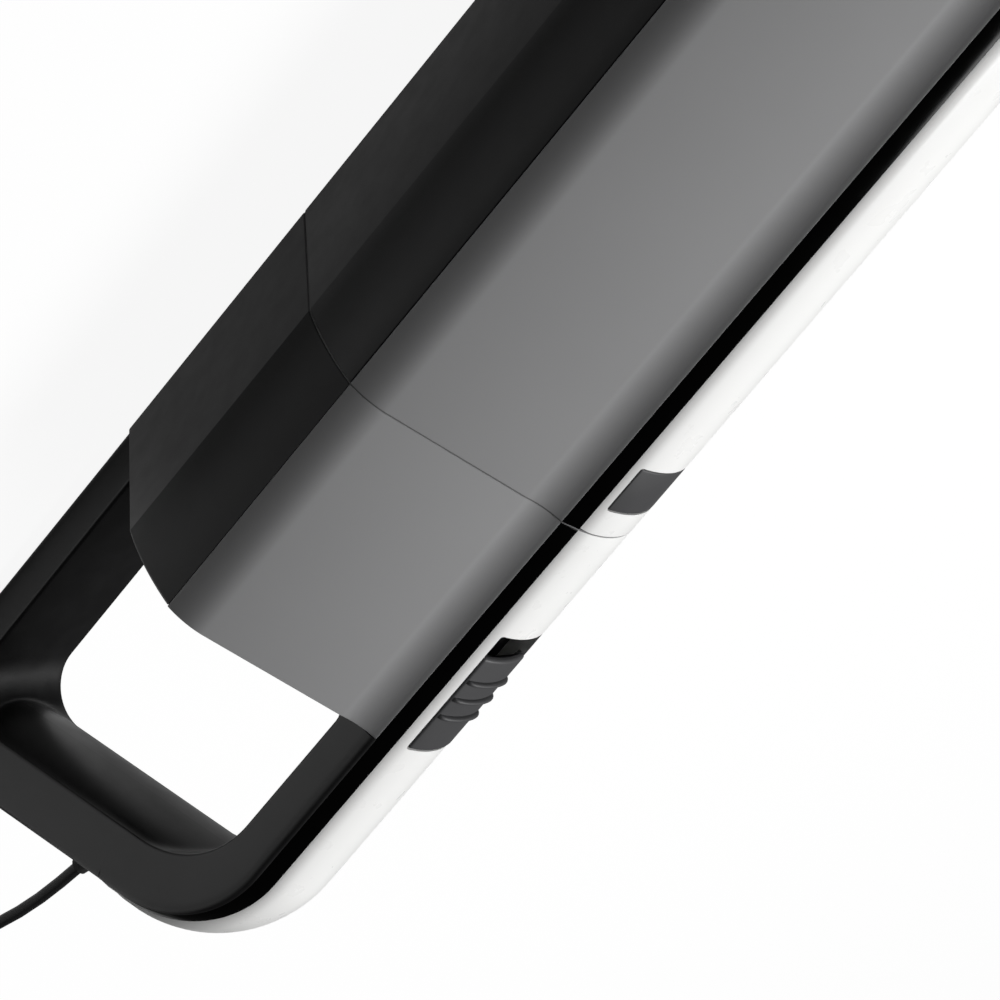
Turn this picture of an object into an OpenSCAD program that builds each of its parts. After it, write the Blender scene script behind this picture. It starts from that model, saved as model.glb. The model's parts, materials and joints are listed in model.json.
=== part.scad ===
// Hand-held 12 V car vacuum cleaner with a loop handle.
// X runs forward to the nozzle, Y to the left, Z up. The origin lies on the resting face,
// on the mid-plane, below the parting line between motor unit and dust cup. Millimetres.

/* [Body section] */
// Height of the body at the crown of the top cover
body_h = 110; // [104:1:116]
// Width of the flat bottom, and of the handle slab above it
bottom_w = 36; // [32:1:40]
// Width at the lower edge of the side, where the bottom facet ends
chine_w = 97; // [92:1:102]
// Height of the lower edge of the side
chine_z = 33; // [30:1:36]
// Width at the belt, the widest place, where the side panels start
belt_w = 112; // [108:1:118]
// Height of the belt
belt_z = 57; // [54:1:60]
// How far the side below the belt bulges outwards
side_bulge = 1.3; // [0.8:0.1:2]
// How far the rounding between belt and shoulder bulges outwards
shoulder_bulge = 0.9; // [0.6:0.1:1.2]
// How far the rounding between neck and trim strip is hollowed
neck_hollow = 0.4; // [0.2:0.1:0.6]
// Width across the two shoulders, where the straight slope of the side panels starts
shoulder_w = 103; // [99:1:106]
// Height of the shoulders above the belt
shoulder_rise = 10; // [8:0.5:12]
// Width across the necks, where the side panels turn steeper again
neck_w = 46; // [44:1:50]
// Width over the two trim strips
ridge_w = 33; // [31:0.5:34]
// Height of the lower edge of the trim strips below the crown
ridge_drop = 5.8; // [5:0.1:6.5]
// Width of the top cover between the trim strips
cover_w = 24; // [22:0.5:25]
// Radius of the top cover across its crown
crown_r = 25.5; // [23:0.5:30]

/* [Lengths] */
// Length of the motor unit's body, from the parting line back to the handle opening
unit_l = 76; // [74:1:80]
// Length from the parting line back to the rear edge of the handle, at the height of the strips
tail_l = 152; // [148:1:158]
// Length of the dust cup along the strips, from the parting line to the nozzle piece
cup_l = 172; // [168:1:178]
// Length from the parting line to the lips of the nozzle
nozzle_l = 210; // [205:1:216]
// Lean of the rear bar of the handle and of the front of the cup
rake = 18; // [16:0.5:20]
// Width of the parting line
seam_gap = 0.4; // [0.3:0.1:0.8]

/* [Walls and gaps] */
// Wall of the plastic shells
wall = 2.4; // [2:0.1:2.8]
// Thickness of the side panels
panel_t = 2.4; // [2:0.1:2.8]
// Depth of the top cover's and the trim's seat below the lower edge of the strips
seat_drop = 1.7; // [1.5:0.1:2]
// Gap between pieces that are fastened to each other
seat_gap = 0.1; // [0.05:0.05:0.15]
// Gap between pieces that move past each other
slide_gap = 0.35; // [0.3:0.05:0.5]

/* [Handle] */
// Height of the bottom bar of the handle
foot_bar = 9.6; // [9.2:0.2:11]
// Height of the top bar of the handle, up to the lower edge of the strips
top_bar = 11.2; // [10.6:0.2:13]
// Thickness of the rear bar along X
rear_bar = 16.7; // [15:0.5:19]
// How far the grip face of the rear bar bulges into the opening
grip_crown = 4.5; // [3:0.5:5]
// Outer radius at the top rear corner
top_corner_r = 36; // [34:1:38]
// Radius of the opening at its top rear corner
top_hole_r = 28; // [26:1:29]
// Outer radius at the bottom rear corner
low_corner_r = 20; // [18:1:22]
// Radius of the opening at its bottom rear corner
low_hole_r = 12; // [10:1:13]
// Radius of the opening's two front corners
front_hole_r = 5; // [3:1:6]
// Length of the top cover's end on the rear bar, past the corner
cover_tail = 9; // [7:1:12]

/* [Switch and button] */
// Length of the slide knob
knob_l = 32; // [30:1:33]
// Width of the slide knob
knob_w = 17.4; // [16:0.2:18]
// Distance from the parting line back to the rear end of the knob
knob_back = 75; // [74:0.5:76]
// Travel of the slide knob
knob_travel = 7; // [6:0.5:7]
// Height of the ribs on the knob
knob_rib_h = 2.2; // [1.8:0.1:2.6]
// Distance between the ribs on the knob
knob_rib_pitch = 6; // [5:0.5:7]
// Length of the release button
button_l = 14; // [12:0.5:15]
// Width of the release button
button_w = 19.4; // [17:0.2:20]
// Distance from the parting line to the release button
button_x = 8; // [7:0.5:9]
// Travel of the release button
button_travel = 2.5; // [2:0.25:2.5]

/* [Motor and fan] */
// Height of the motor axis
axis_z = 52; // [50:0.5:53]
// Outer radius of the motor can
can_r = 18; // [17:0.5:19]
// Length of the motor can
can_l = 42; // [40:0.5:42.5]
// Radius of the impeller
fan_r = 34; // [30:0.5:35]
// Number of impeller blades
fan_blades = 9; // [6:1:12]
// Radius of the motor shaft
shaft_r = 1.59; // [1.5:0.01:2]
// Radius of the intake eye in the bulkhead
eye_r = 16; // [12:0.5:18]

/* [Filter] */
// Length of the pleated part of the filter
pleat_l = 36; // [30:1:40]
// Outer radius of the pleats
pleat_r = 32.4; // [31:0.2:32.6]
// Number of pleats
pleats = 36; // [24:2:48]
// Radius of the spigot that carries the filter
spigot_r = 30; // [29:0.5:31]

/* [Nozzle] */
// Width of the nozzle's mouth outside
mouth_w = 74; // [66:1:80]
// Height of the nozzle's mouth outside
mouth_h = 36; // [32:1:40]
// Radius of the mouth's corners outside
mouth_r = 7; // [4:0.5:12]
// Height of the mouth's lower lip above the resting face
mouth_lift = 3; // [2:0.5:5]
// Width of the inlet in the baffle
inlet_w = 36; // [32:1:38]
// Height of the inlet in the baffle
inlet_h = 24; // [22:1:26]
// Distance from the front end of the strips back to the baffle
baffle_back = 44; // [44:1:52]

/* [Cord and plug] */
// Diameter of the cord
cord_d = 3.2; // [3:0.1:3.4]
// Number of loops in each layer of the coiled cord
coil_loops = 6; // [4:1:6]
// Number of layers of the coiled cord
coil_layers = 4; // [2:2:4]
// Least gap between neighbouring loops
coil_gap = 0.5; // [0.45:0.05:0.8]
// Radius of the coil at the middle of its outermost loop
coil_r = 36.5; // [36:0.5:40]
// Radius of the plug's nose, which fits a 12 V socket
nose_r = 10.2; // [10:0.1:10.3]
// Radius of the plug's grip
plug_grip_r = 12; // [11:0.5:13]
// Travel of the plug's centre tip
tip_travel = 3; // [2:0.5:4]

/* [Hidden] */
far = 400;
round_n = 64;

black = [0.09, 0.09, 0.095];
grey = [0.45, 0.45, 0.46];
white = [0.93, 0.93, 0.93];
gloss = [0.02, 0.02, 0.02];
steel = [0.68, 0.69, 0.7];
brass = [0.78, 0.62, 0.3];
copper = [0.72, 0.4, 0.22];
rubber = [0.07, 0.07, 0.07];

function unit(v) = v / norm(v);

// Outward normal of the edge from p to q on an outline that runs anticlockwise
function edge_normal(p, q) = let (u = unit(q - p)) [u.y, -u.x];

// The outline moved inwards by t, with sharp corners; a negative t moves it outwards
function inset(outline, t) = [
    for (i = [0:len(outline) - 1])
        let (before = outline[(i + len(outline) - 1) % len(outline)],
             after = outline[(i + 1) % len(outline)],
             n1 = edge_normal(before, outline[i]),
             n2 = edge_normal(outline[i], after))
        outline[i] - t * (n1 + n2) / (1 + n1 * n2)
];

// Points on an arc from p to q that stands out by sag to the right of the way from p to q
function arc_through(p, q, sag, steps) =
    let (chord = norm(q - p), along = unit(q - p), out = [along.y, -along.x] * sign(sag),
         r = (chord * chord / 4 + sag * sag) / (2 * abs(sag)))
    [for (i = [0:steps])
        let (t = chord * (i / steps - 0.5))
        (p + q) / 2 + along * t + out * (sqrt(r * r - t * t) - r + abs(sag))];

// Points on a circle about c from angle a0 to a1
function arc(c, r, a0, a1, steps) =
    [for (i = [0:steps]) let (a = a0 + (a1 - a0) * i / steps) c + r * [cos(a), sin(a)]];

ridge_z = body_h - ridge_drop;
shoulder_z = belt_z + shoulder_rise;
neck_z = shoulder_z + (shoulder_w - neck_w) / 2;
crown_c = body_h - crown_r;
cover_a = asin(cover_w / 2 / crown_r);

half_section = concat(
    [[bottom_w / 2, 0]],
    arc_through([chine_w / 2, chine_z], [belt_w / 2, belt_z], side_bulge, 5),
    [for (i = [1:4]) arc_through([belt_w / 2, belt_z], [shoulder_w / 2, shoulder_z], shoulder_bulge, 4)[i]],
    arc_through([neck_w / 2, neck_z], [ridge_w / 2, ridge_z], -neck_hollow, 4),
    arc([0, crown_c], crown_r, 90 - cover_a, 90, 6));

// The half outline and its mirror image, as one closed outline that runs anticlockwise
function both_sides(half) =
    concat(half, [for (i = [len(half) - 2:-1:0]) [-half[i].x, half[i].y]]);

section = both_sides(half_section);
seat_z = ridge_z - seat_drop;
panel_in = panel_t + seat_gap;
unit_front = -seam_gap / 2;
cup_back = seam_gap / 2;

// Centre of the handle's top rear corner
corner_x = -tail_l + top_corner_r * tan(45 - rake / 2);
corner_z = ridge_z - top_corner_r;

module block(x0, x1, y0, y1, z0, z1) {
    translate([x0, y0, z0]) cube([x1 - x0, y1 - y0, z1 - z0]);
}

// An outline in Y and Z, drawn out along X
module bar_x(outline, x0, x1) {
    translate([x0, 0, 0]) rotate([90, 0, 90]) linear_extrude(x1 - x0) polygon(outline);
}

// An outline in X and Z, drawn out along Y
module bar_y(outline, y0, y1) {
    translate([0, y1, 0]) rotate([90, 0, 0]) linear_extrude(y1 - y0) polygon(outline);
}

module rod_x(r, x0, x1, y = 0, z = axis_z, fn = round_n) {
    translate([x0, y, z]) rotate([0, 90, 0]) cylinder(r = r, h = x1 - x0, $fn = fn);
}

module rod_y(r, y0, y1, x, z, fn = 32) {
    translate([x, y0, z]) rotate([-90, 0, 0]) cylinder(r = r, h = y1 - y0, $fn = fn);
}

module tube_x(r_in, r_out, x0, x1, y = 0, z = axis_z) {
    difference() {
        rod_x(r_out, x0, x1, y, z);
        rod_x(r_in, x0 - 1, x1 + 1, y, z);
    }
}

// Everything on one side of the mid-plane: 1 is left, -1 is right
module half_space(side) {
    block(-far, far, side > 0 ? 0 : -far, side > 0 ? far : 0, -far, far);
}

// What lies ahead of the raked front of the cup
module ahead_of_front() {
    translate([cup_l, 0, ridge_z]) rotate([0, rake, 0]) block(0, far, -far, far, -far, far);
}

// The room inside the shells, made smaller by c on every side
module inner_room(x0, x1, c = 0) {
    intersection() {
        bar_x(inset(section, wall + c), x0, x1);
        block(x0 - 1, x1 + 1, -far, far, wall + c, belt_z - wall - c);
    }
    intersection() {
        bar_x(inset(section, panel_in + wall + c), x0, x1);
        block(x0 - 1, x1 + 1, -far, far, wall + c, seat_z - wall - c);
    }
}

// The shells' outside below the belt, and the seat of the side panels above it
module shell_outside(x0, x1) {
    intersection() {
        bar_x(section, x0, x1);
        block(x0 - 1, x1 + 1, -far, far, -1, belt_z);
    }
    intersection() {
        bar_x(inset(section, panel_in), x0, x1);
        block(x0 - 1, x1 + 1, -far, far, belt_z - 1, seat_z);
    }
}

module side_panel(side, x0, x1) {
    intersection() {
        difference() {
            bar_x(section, x0, x1);
            bar_x(inset(section, panel_t), x0 - 1, x1 + 1);
            block(x0 - 1, x1 + 1, -ridge_w / 2, ridge_w / 2, seat_z, far);
        }
        block(x0 - 1, x1 + 1, -far, far, belt_z, far);
        half_space(side);
    }
}

// How much earlier the cover and the trim end on the rear bar, per millimetre above their seat
end_slope = 0.8;
bend_steps = 20;

// The outline, turned round if need be so that it runs anticlockwise
function anticlockwise(outline) =
    let (n = len(outline),
         doubled = [for (i = [0:n - 1]) cross(outline[i], outline[(i + 1) % n])] * [for (i = [1:n]) 1])
    doubled > 0 ? outline : reversed(outline);

// The outline's points where the ridge has turned by a, and moved on by length along it
function ridge_ring(outline, a, tail, slope) = [
    for (p = outline)
        let (r = p.y - corner_z, t = tail - slope * (p.y - seat_z))
        [corner_x - r * sin(a) - t * cos(a), p.x, corner_z + r * cos(a) - t * sin(a)]];

// An outline in Y and Z carried along the ridge: from its end on the rear bar round the corner, forward to x1
module ridge_sweep(outline, x1) {
    loop = anticlockwise(outline);
    n = len(loop);
    turn = 90 - rake;
    last = (bend_steps + 2) * n;
    points = concat(
        ridge_ring(loop, turn, cover_tail, end_slope),
        [for (i = [bend_steps:-1:0]) each ridge_ring(loop, turn * i / bend_steps, 0, 0)],
        [for (p = loop) [x1, p.x, p.y]]);
    faces = concat(
        [[for (k = [0:n - 1]) k]],
        [[for (k = [n - 1:-1:0]) last + k]],
        [for (i = [0:bend_steps + 1]) for (k = [0:n - 1])
            let (a = i * n + k, b = i * n + (k + 1) % n)
            [a, a + n, b + n, b]]);
    polyhedron(points, faces, convexity = 10);
}

function crown_arc(r, half_w, steps) =
    let (a = asin(half_w / r)) arc([0, crown_c], r, 90 - a, 90 + a, steps);

function reversed(list) = [for (i = [len(list) - 1:-1:0]) list[i]];

cover_outline = concat(
    crown_arc(crown_r, cover_w / 2, 12),
    [[-cover_w / 2, seat_z], [wall - cover_w / 2, seat_z]],
    reversed(crown_arc(crown_r - wall, cover_w / 2 - wall, 8)),
    [[cover_w / 2 - wall, seat_z], [cover_w / 2, seat_z]]);

cover_edge_z = crown_c + crown_r * cos(cover_a);

function trim_outline(side) = [
    [side * cover_w / 2, seat_z], [side * ridge_w / 2, seat_z],
    [side * ridge_w / 2, ridge_z], [side * cover_w / 2, cover_edge_z]];

// The handle seen from the side
rear_low_x = -tail_l - tan(rake) * ridge_z;
low_c = [rear_low_x + low_corner_r / tan(45 - rake / 2), low_corner_r];
slab_outline = concat(
    [[-unit_l, 0], [-unit_l, ridge_z]],
    arc([corner_x, corner_z], top_corner_r, 90, 180 - rake, 12),
    arc(low_c, low_corner_r, 180 - rake, 270, 12));

hole_top_z = ridge_z - top_bar;
hole_corner_x = -tail_l + rear_bar - tan(rake) * top_bar;
hole_low_x = -tail_l + rear_bar - tan(rake) * (ridge_z - foot_bar);
hole_top_c = [hole_corner_x + top_hole_r * tan(45 - rake / 2), hole_top_z - top_hole_r];
hole_low_c = [hole_low_x + low_hole_r / tan(45 - rake / 2), foot_bar + low_hole_r];
hole_outline = concat(
    arc([-unit_l - front_hole_r, foot_bar + front_hole_r], front_hole_r, -90, 0, 4),
    arc([-unit_l - front_hole_r, hole_top_z - front_hole_r], front_hole_r, 0, 90, 4),
    arc(hole_top_c, top_hole_r, 90, 180 - rake, 10),
    arc(hole_low_c, low_hole_r, 180 - rake, 270, 8));

// The crowned grip face of the rear bar, inside the opening
module grip_face() {
    grip_r = (pow(bottom_w / 2, 2) + pow(grip_crown, 2)) / (2 * grip_crown);
    intersection() {
        bar_y(inset(hole_outline, -seat_gap), -bottom_w / 2, bottom_w / 2);
        translate([-tail_l + rear_bar, 0, ridge_z]) rotate([0, rake, 0])
            translate([grip_crown - grip_r, 0, -far / 2])
                cylinder(r = grip_r, h = far, $fn = 128);
    }
}

// Middle of the rear bar at the height z
function rear_middle(z) = [-tail_l + rear_bar / 2 - tan(rake) * (ridge_z - z), z];

// Screws across the mid-plane, each place in X and Z
screw_r = 1.5;
screw_head_r = 2.8;
boss_r = 4.2;
screw_places = [rear_middle(40), [low_c.x - boss_r - 0.5, foot_bar], [-unit_l - 24, foot_bar / 2],
    [-unit_l + 43, seat_z - 12.5], [-unit_l + 16, 12]];
head_y = -12;
head_h = 1.8;
screw_end = 8;

// The cord leaves the handle at the strain relief and droops to the floor; points chosen by hand
cord_route = [
    [-175.5, 0, 57.5], [-183, 0, 56.3], [-190.5, 0, 54.8], [-198, 0, 52.8], [-205, 0, 50.4],
    [-212, 0.5, 47.3], [-218.5, 1.5, 43.5], [-224, 3, 38.9], [-228.8, 5, 33.6], [-233, 7.5, 27.8],
    [-236.8, 10.5, 21.8], [-240.6, 14, 16], [-244.8, 18, 10.8], [-249.7, 22.3, 6.6], [-255, 28, 4],
    [-260.3, 31.4, 2.6], [-268.5, 34.2, 2.35], [-276.6, 36, 2.35], [-281.8, 36.5, 2.35]];
tail_route = [
    [-288.2, 36.5, 13.45], [-293, 36.5, 13.4], [-300, 36.5, 12.9], [-307, 36.5, 12.15], [-312, 36.5, 12.05]];

// The strain relief lies along the cord's way through the rear bar
exit_tilt = 10;
relief_out = 9;
relief_in = 8;
relief_r = 3.4;
relief_neck = 4.6;
relief_flange_r = 4.8;
module along_exit() {
    translate(cord_route[0]) rotate([0, 90 - exit_tilt, 0]) children();
}

grille_y = [23, 43];
grille_z = [31, 68];
stem_x = [-58, -54];
stem_w = 6;
latch_w = 7;
latch_z = [seat_z - 7.6, seat_z - 5.9];
latch_x = [-9, -6.5];

// Seat of the top cover and the trim on the handle, and the bevel beside them
module ridge_cut() {
    w = ridge_w / 2;
    edge = bottom_w / 2 + 0.1;
    bevel = 3.4;
    top = body_h + 1;
    ridge_sweep([[-w, seat_z], [w, seat_z], [w, top], [-w, top]], 0);
    for (s = [-1, 1])
        ridge_sweep([[s * w, ridge_z], [s * edge, ridge_z - bevel], [s * edge, top], [s * w, top]], 0);
}

module handle_solid() {
    difference() {
        bar_y(slab_outline, -bottom_w / 2, bottom_w / 2);
        bar_y(hole_outline, -far, far);
        ridge_cut();
    }
}

// The hollow of the handle, which opens into the body through the top bar
module handle_room() {
    y = bottom_w / 2 - wall;
    difference() {
        intersection() {
            bar_y(inset(slab_outline, wall + seat_drop), -y, y);
            block(-far, -unit_l, -y, y, 0, far);
        }
        bar_y(inset(hole_outline, -wall), -far, far);
    }
    block(-unit_l - wall - seat_drop - 1, -unit_l + wall + 1, -y, y, hole_top_z + wall, seat_z - wall);
}

module unit_outside() {
    shell_outside(-unit_l, unit_front);
    handle_solid();
}

module unit_room() {
    inner_room(-unit_l + wall, far);
    handle_room();
    block(stem_x[0] - slide_gap, stem_x[1] + knob_travel + slide_gap,
        -stem_w / 2 - slide_gap, stem_w / 2 + slide_gap, seat_z - wall - 1, seat_z + 1);
    for (s = [0, 1]) mirror([0, s, 0])
        block(-unit_l - 1, -unit_l + wall + 1, grille_y[0], grille_y[1], grille_z[0], grille_z[1]);
}

module screw_holes() {
    for (p = screw_places) {
        rod_y(screw_r + 0.02, -1, screw_end + 0.5, p.x, p.y);
        rod_y(screw_r + 0.2, head_y - 1, 0, p.x, p.y);
        rod_y(screw_head_r + 0.2, -far, head_y, p.x, p.y);
    }
}

module housing(side) {
    color(black) intersection() {
        difference() {
            union() {
                difference() {
                    unit_outside();
                    unit_room();
                }
                grip_face();
                intersection() {
                    unit_outside();
                    for (p = screw_places) rod_y(boss_r, -far, far, p.x, p.y);
                }
            }
            screw_holes();
            along_exit() {
                translate([0, 0, relief_out - 4]) cylinder(r = relief_r, h = 12, $fn = 32);
                translate([0, 0, relief_out + relief_neck - seat_gap])
                    cylinder(r = relief_flange_r + seat_gap, h = relief_in, $fn = 32);
            }
        }
        half_space(side);
    }
}

module housing_screws() {
    color(steel) for (p = screw_places) difference() {
        union() {
            rod_y(screw_r, head_y - 0.5, screw_end, p.x, p.y);
            rod_y(screw_head_r, head_y - head_h, head_y, p.x, p.y);
        }
        for (a = [0, 90])
            translate([p.x, head_y - head_h, p.y]) rotate([0, a, 0]) cube([0.6, 1.6, 3.2], center = true);
    }
}

module top_cover() {
    front = -knob_back + knob_l + knob_travel + 0.5;
    color(white) difference() {
        ridge_sweep(cover_outline, unit_front);
        block(-knob_back - slide_gap, front, -knob_w / 2 - slide_gap, knob_w / 2 + slide_gap,
            seat_z + 1, far);
    }
}

module trim(side) {
    color(gloss) ridge_sweep(trim_outline(side), unit_front);
}

module exhaust_grille(side) {
    slats = 7;
    pitch = (grille_z[1] - grille_z[0] - 4) / slats;
    c = seat_gap;
    color(black) mirror([0, side > 0 ? 0 : 1, 0]) difference() {
        block(-unit_l, -unit_l + wall, grille_y[0] + c, grille_y[1] - c, grille_z[0] + c, grille_z[1] - c);
        for (i = [0:slats - 1])
            block(-unit_l - 1, -unit_l + wall + 1, grille_y[0] + 2.5, grille_y[1] - 2.5,
                grille_z[0] + 2.6 + i * pitch, grille_z[0] + 1.4 + (i + 1) * pitch);
    }
}

// Bulkhead, fan and motor, along the motor's axis
bulk_x = [-6, -3];
shroud_x = [-7.8, -6];
fan_case_x = [-24, -6];
fan_case_wall = 2;
fan_case_r = fan_r + 5.8;
fan_x = [-19.5, -9.7];
can_x = [fan_case_x[0] - can_l, fan_case_x[0]];
cap_x = [can_x[0] - 3.5, can_x[0]];
motor_screw_r = 12.5;
bush_r = 4;
latch_notch = latch_w / 2 + 2 * slide_gap + 0.5;

module latch_way(x0, x1) {
    block(x0, x1, -latch_notch, latch_notch, latch_z[0] - button_travel - 0.8, far);
}

module bulkhead() {
    color(black) difference() {
        union() {
            inner_room(bulk_x[0], bulk_x[1], seat_gap);
            rod_x(spigot_r, bulk_x[1] - 0.5, 4);
        }
        rod_x(spigot_r - 2, bulk_x[1], 5);
        rod_x(eye_r, bulk_x[0] - 1, 5);
        latch_way(bulk_x[0] - 1, 1);
    }
}

module cup_gasket() {
    color(rubber) difference() {
        inner_room(bulk_x[1], unit_front, 0.5);
        inner_room(bulk_x[1] - 1, 1, 3.5);
        latch_way(bulk_x[1] - 1, 1);
    }
}

module fan_shroud() {
    color(black) tube_x(eye_r, fan_case_r - fan_case_wall - seat_gap, shroud_x[0], shroud_x[1]);
}

module fan_housing() {
    vents = 12;
    color(black) difference() {
        rod_x(fan_case_r, fan_case_x[0], fan_case_x[1]);
        rod_x(fan_case_r - fan_case_wall, fan_case_x[0] + 2.5, 0);
        rod_x(bush_r + 1, fan_case_x[0] - 1, 0);
        for (a = [0, 180]) rotate_about_axis(a)
            rod_x(screw_r + 0.05, fan_case_x[0] - 1, 0, 0, axis_z + motor_screw_r);
        for (i = [0:vents - 1]) rotate_about_axis(i * 360 / vents)
            block(fan_case_x[0] - 1, fan_case_x[0] + 3, -5, 5,
                axis_z + fan_case_r - 8, axis_z + fan_case_r - 3.5);
    }
}

module rotate_about_axis(a) {
    translate([0, 0, axis_z]) rotate([a, 0, 0]) translate([0, 0, -axis_z]) children();
}

module impeller() {
    plate = 1.2;
    turn = 28;
    color(grey) {
        difference() {
            union() {
                rod_x(fan_r, fan_x[0], fan_x[0] + plate);
                rod_x(6, fan_x[0], fan_x[1] - 1.3);
            }
            rod_x(shaft_r + 0.01, fan_x[0] - 1, 0);
        }
        tube_x(eye_r + 1, fan_r, fan_x[1] - 1, fan_x[1]);
        for (i = [0:fan_blades - 1]) rotate_about_axis(i * 360 / fan_blades)
            translate([0, 0, axis_z]) rotate([turn, 0, 0])
                block(fan_x[0] + plate - 0.2, fan_x[1] - 0.8, -9.5, -8.4, 6, fan_r - 3.5);
    }
}

module impeller_nut() {
    color(brass) difference() {
        rod_x(3.4, fan_x[1] - 1.3, fan_x[1] + 1, fn = 6);
        rod_x(shaft_r + 0.01, fan_x[1] - 2, 0);
    }
}

module motor_can() {
    color(steel) difference() {
        rod_x(can_r, can_x[0], can_x[1]);
        rod_x(can_r - 1.4, can_x[0] - 1, can_x[1] - 1.5);
        rod_x(bush_r + 0.02, can_x[0], 0);
        for (a = [0, 180]) rotate_about_axis(a) rod_x(screw_r + 0.02, can_x[0], 0, 0, axis_z + motor_screw_r);
    }
}

module motor_magnets() {
    color(gloss) for (s = [0, 1]) mirror([0, s, 0]) intersection() {
        tube_x(can_r - 4.6, can_r - 1.45, core_x[0] - 3, core_x[1] + 3);
        block(-far, far, can_r / 2, far, 0, far);
    }
}

module end_cap() {
    color(black) difference() {
        union() {
            rod_x(can_r, cap_x[0], cap_x[1]);
            block(cap_x[0], cap_x[1], -9, 9, axis_z + can_r - 4, axis_z + can_r + 1.5);
        }
        rod_x(bush_r + 0.02, cap_x[0] - 1, 0);
    }
}

module shaft_bushings() {
    color(brass) {
        tube_x(shaft_r + 0.03, bush_r, can_x[1] - 4, can_x[1] + 1.5);
        tube_x(shaft_r + 0.03, bush_r, cap_x[0], cap_x[1] + 1);
    }
}

module carbon_brushes() {
    color(gloss) for (s = [0, 1]) mirror([0, s, 0])
        block(cap_x[1], cap_x[1] + 6, bush_r + 0.05, bush_r + 6, axis_z - 2, axis_z + 2);
}

module motor_terminals() {
    color(brass) for (y = [-7, 4])
        block(cap_x[0] + 1, cap_x[0] + 1.8, y, y + 3, axis_z + can_r + 1.5, axis_z + can_r + 6);
}

module motor_mount() {
    color(rubber) tube_x(can_r - 4, can_r, -unit_l + wall, cap_x[0]);
}

module motor_screws() {
    color(steel) for (a = [0, 180]) rotate_about_axis(a) {
        rod_x(screw_r, fan_case_x[0] - 4, fan_case_x[0] + 2.6, 0, axis_z + motor_screw_r, 32);
        rod_x(screw_head_r, fan_case_x[0] + 2.5, fan_case_x[0] + 4, 0, axis_z + motor_screw_r, 32);
    }
}

commutator_r = 3.6;
core_x = [can_x[0] + 13, can_x[1] - 9];

module motor_shaft() {
    color(steel) rod_x(shaft_r, cap_x[0] - 0.5, fan_x[1] + 1.5, fn = 32);
}

module on_shaft(r, x0, x1) {
    tube_x(shaft_r + 0.01, r, x0, x1);
}

module armature() {
    slots = 5;
    color(steel) difference() {
        on_shaft(can_r - 5.2, core_x[0], core_x[1]);
        for (i = [0:slots - 1]) rotate_about_axis(i * 360 / slots)
            block(core_x[0] - 1, core_x[1] + 1, -1.2, 1.2, axis_z + 5, axis_z + can_r);
    }
}

module windings() {
    color(copper) {
        on_shaft(can_r - 7, core_x[0] - 4, core_x[0]);
        on_shaft(can_r - 7, core_x[1], core_x[1] + 4);
    }
}

module commutator() {
    color(copper) on_shaft(commutator_r, cap_x[1] + 1.5, core_x[0] - 4);
}

// Slide switch
rib_count = 3;
rib_t = 1.6;
rib_front = 24;

module knob_skin(r0, r1, w, x0, x1) {
    bar_x(concat(crown_arc(r1, w / 2, 10), reversed(crown_arc(r0, w / 2, 10))), x0, x1);
}

module switch_knob() {
    color(black) {
        knob_skin(crown_r - 2, crown_r + 0.3, knob_w, -knob_back, -knob_back + knob_l);
        for (i = [0:rib_count - 1]) {
            x = -knob_back + rib_front - i * knob_rib_pitch;
            knob_skin(crown_r, crown_r + knob_rib_h, knob_w - 1, x - rib_t / 2, x + rib_t / 2);
        }
        block(stem_x[0], stem_x[1], -stem_w / 2, stem_w / 2, seat_z - 6, body_h - 1.5);
    }
}

switch_x = [-70, -42];
switch_w = 13;
switch_z = seat_z - 14.5;

module switch_body() {
    c = slide_gap;
    color(black) difference() {
        block(switch_x[0], switch_x[1], -switch_w / 2, switch_w / 2, switch_z, seat_z - wall);
        block(stem_x[0] - c, stem_x[1] + knob_travel + c, -stem_w / 2 - c, stem_w / 2 + c,
            seat_z - 6 - 2 * c, far);
    }
}

module switch_terminals() {
    color(brass) for (x = [-52, -46])
        block(x, x + 0.8, -1.5, 1.5, switch_z - 4.5, switch_z);
}

// Rings of points along a path, each square to the way the path runs there
function tangent(path, i, first, last) =
    i == 0 ? first : i == len(path) - 1 ? last : unit(path[i + 1] - path[i - 1]);

function tube_points(path, r, sides, first, last, ref) = [
    for (i = [0:len(path) - 1])
        let (t = tangent(path, i, first, last), across = unit(cross(ref, t)), up = cross(t, across))
        for (k = [0:sides - 1])
            let (a = 360 * (k + 0.5) / sides)
            path[i] + r * (cos(a) * across + sin(a) * up)];

function tube_faces(rings, sides) = concat(
    [for (k = [1:sides - 2]) [0, k, k + 1]],
    [for (k = [1:sides - 2]) let (b = (rings - 1) * sides) [b, b + k + 1, b + k]],
    [for (i = [0:rings - 2]) for (k = [0:sides - 1]) for (half = [0, 1])
        let (a = i * sides + k, b = i * sides + (k + 1) % sides, c = b + sides, d = a + sides)
        half == 0 ? [a, d, c] : [a, c, b]]);

module tube(path, r, sides, first, last, ref = [0, 0, 1]) {
    polyhedron(tube_points(path, r, sides, first, last, ref), tube_faces(len(path), sides), convexity = 10);
}

// The path with each of its corners rounded, from the distance cut before it to that after it
function rounded(path, cut) = [
    for (i = [0:len(path) - 1]) each
        i == 0 || i == len(path) - 1 ? [path[i]] :
        let (p = path[i], a = p + cut * unit(path[i - 1] - p), b = p + cut * unit(path[i + 1] - p))
        [for (t = [0:0.25:1]) (1 - t) * (1 - t) * a + 2 * t * (1 - t) * p + t * t * b]];

module wire(path, r, cut, first, last) {
    tube(rounded(path, cut), r, 8, first, last, [0, 1, 0]);
}

// The supply lead keeps to the middle of the handle's hollow
bar_mid_z = (hole_top_z + seat_z) / 2;
lead_bend_r = top_corner_r - 5.8;

function lead_bend(a) = [corner_x - lead_bend_r * cos(a), 0, corner_z + lead_bend_r * sin(a)];

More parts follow.
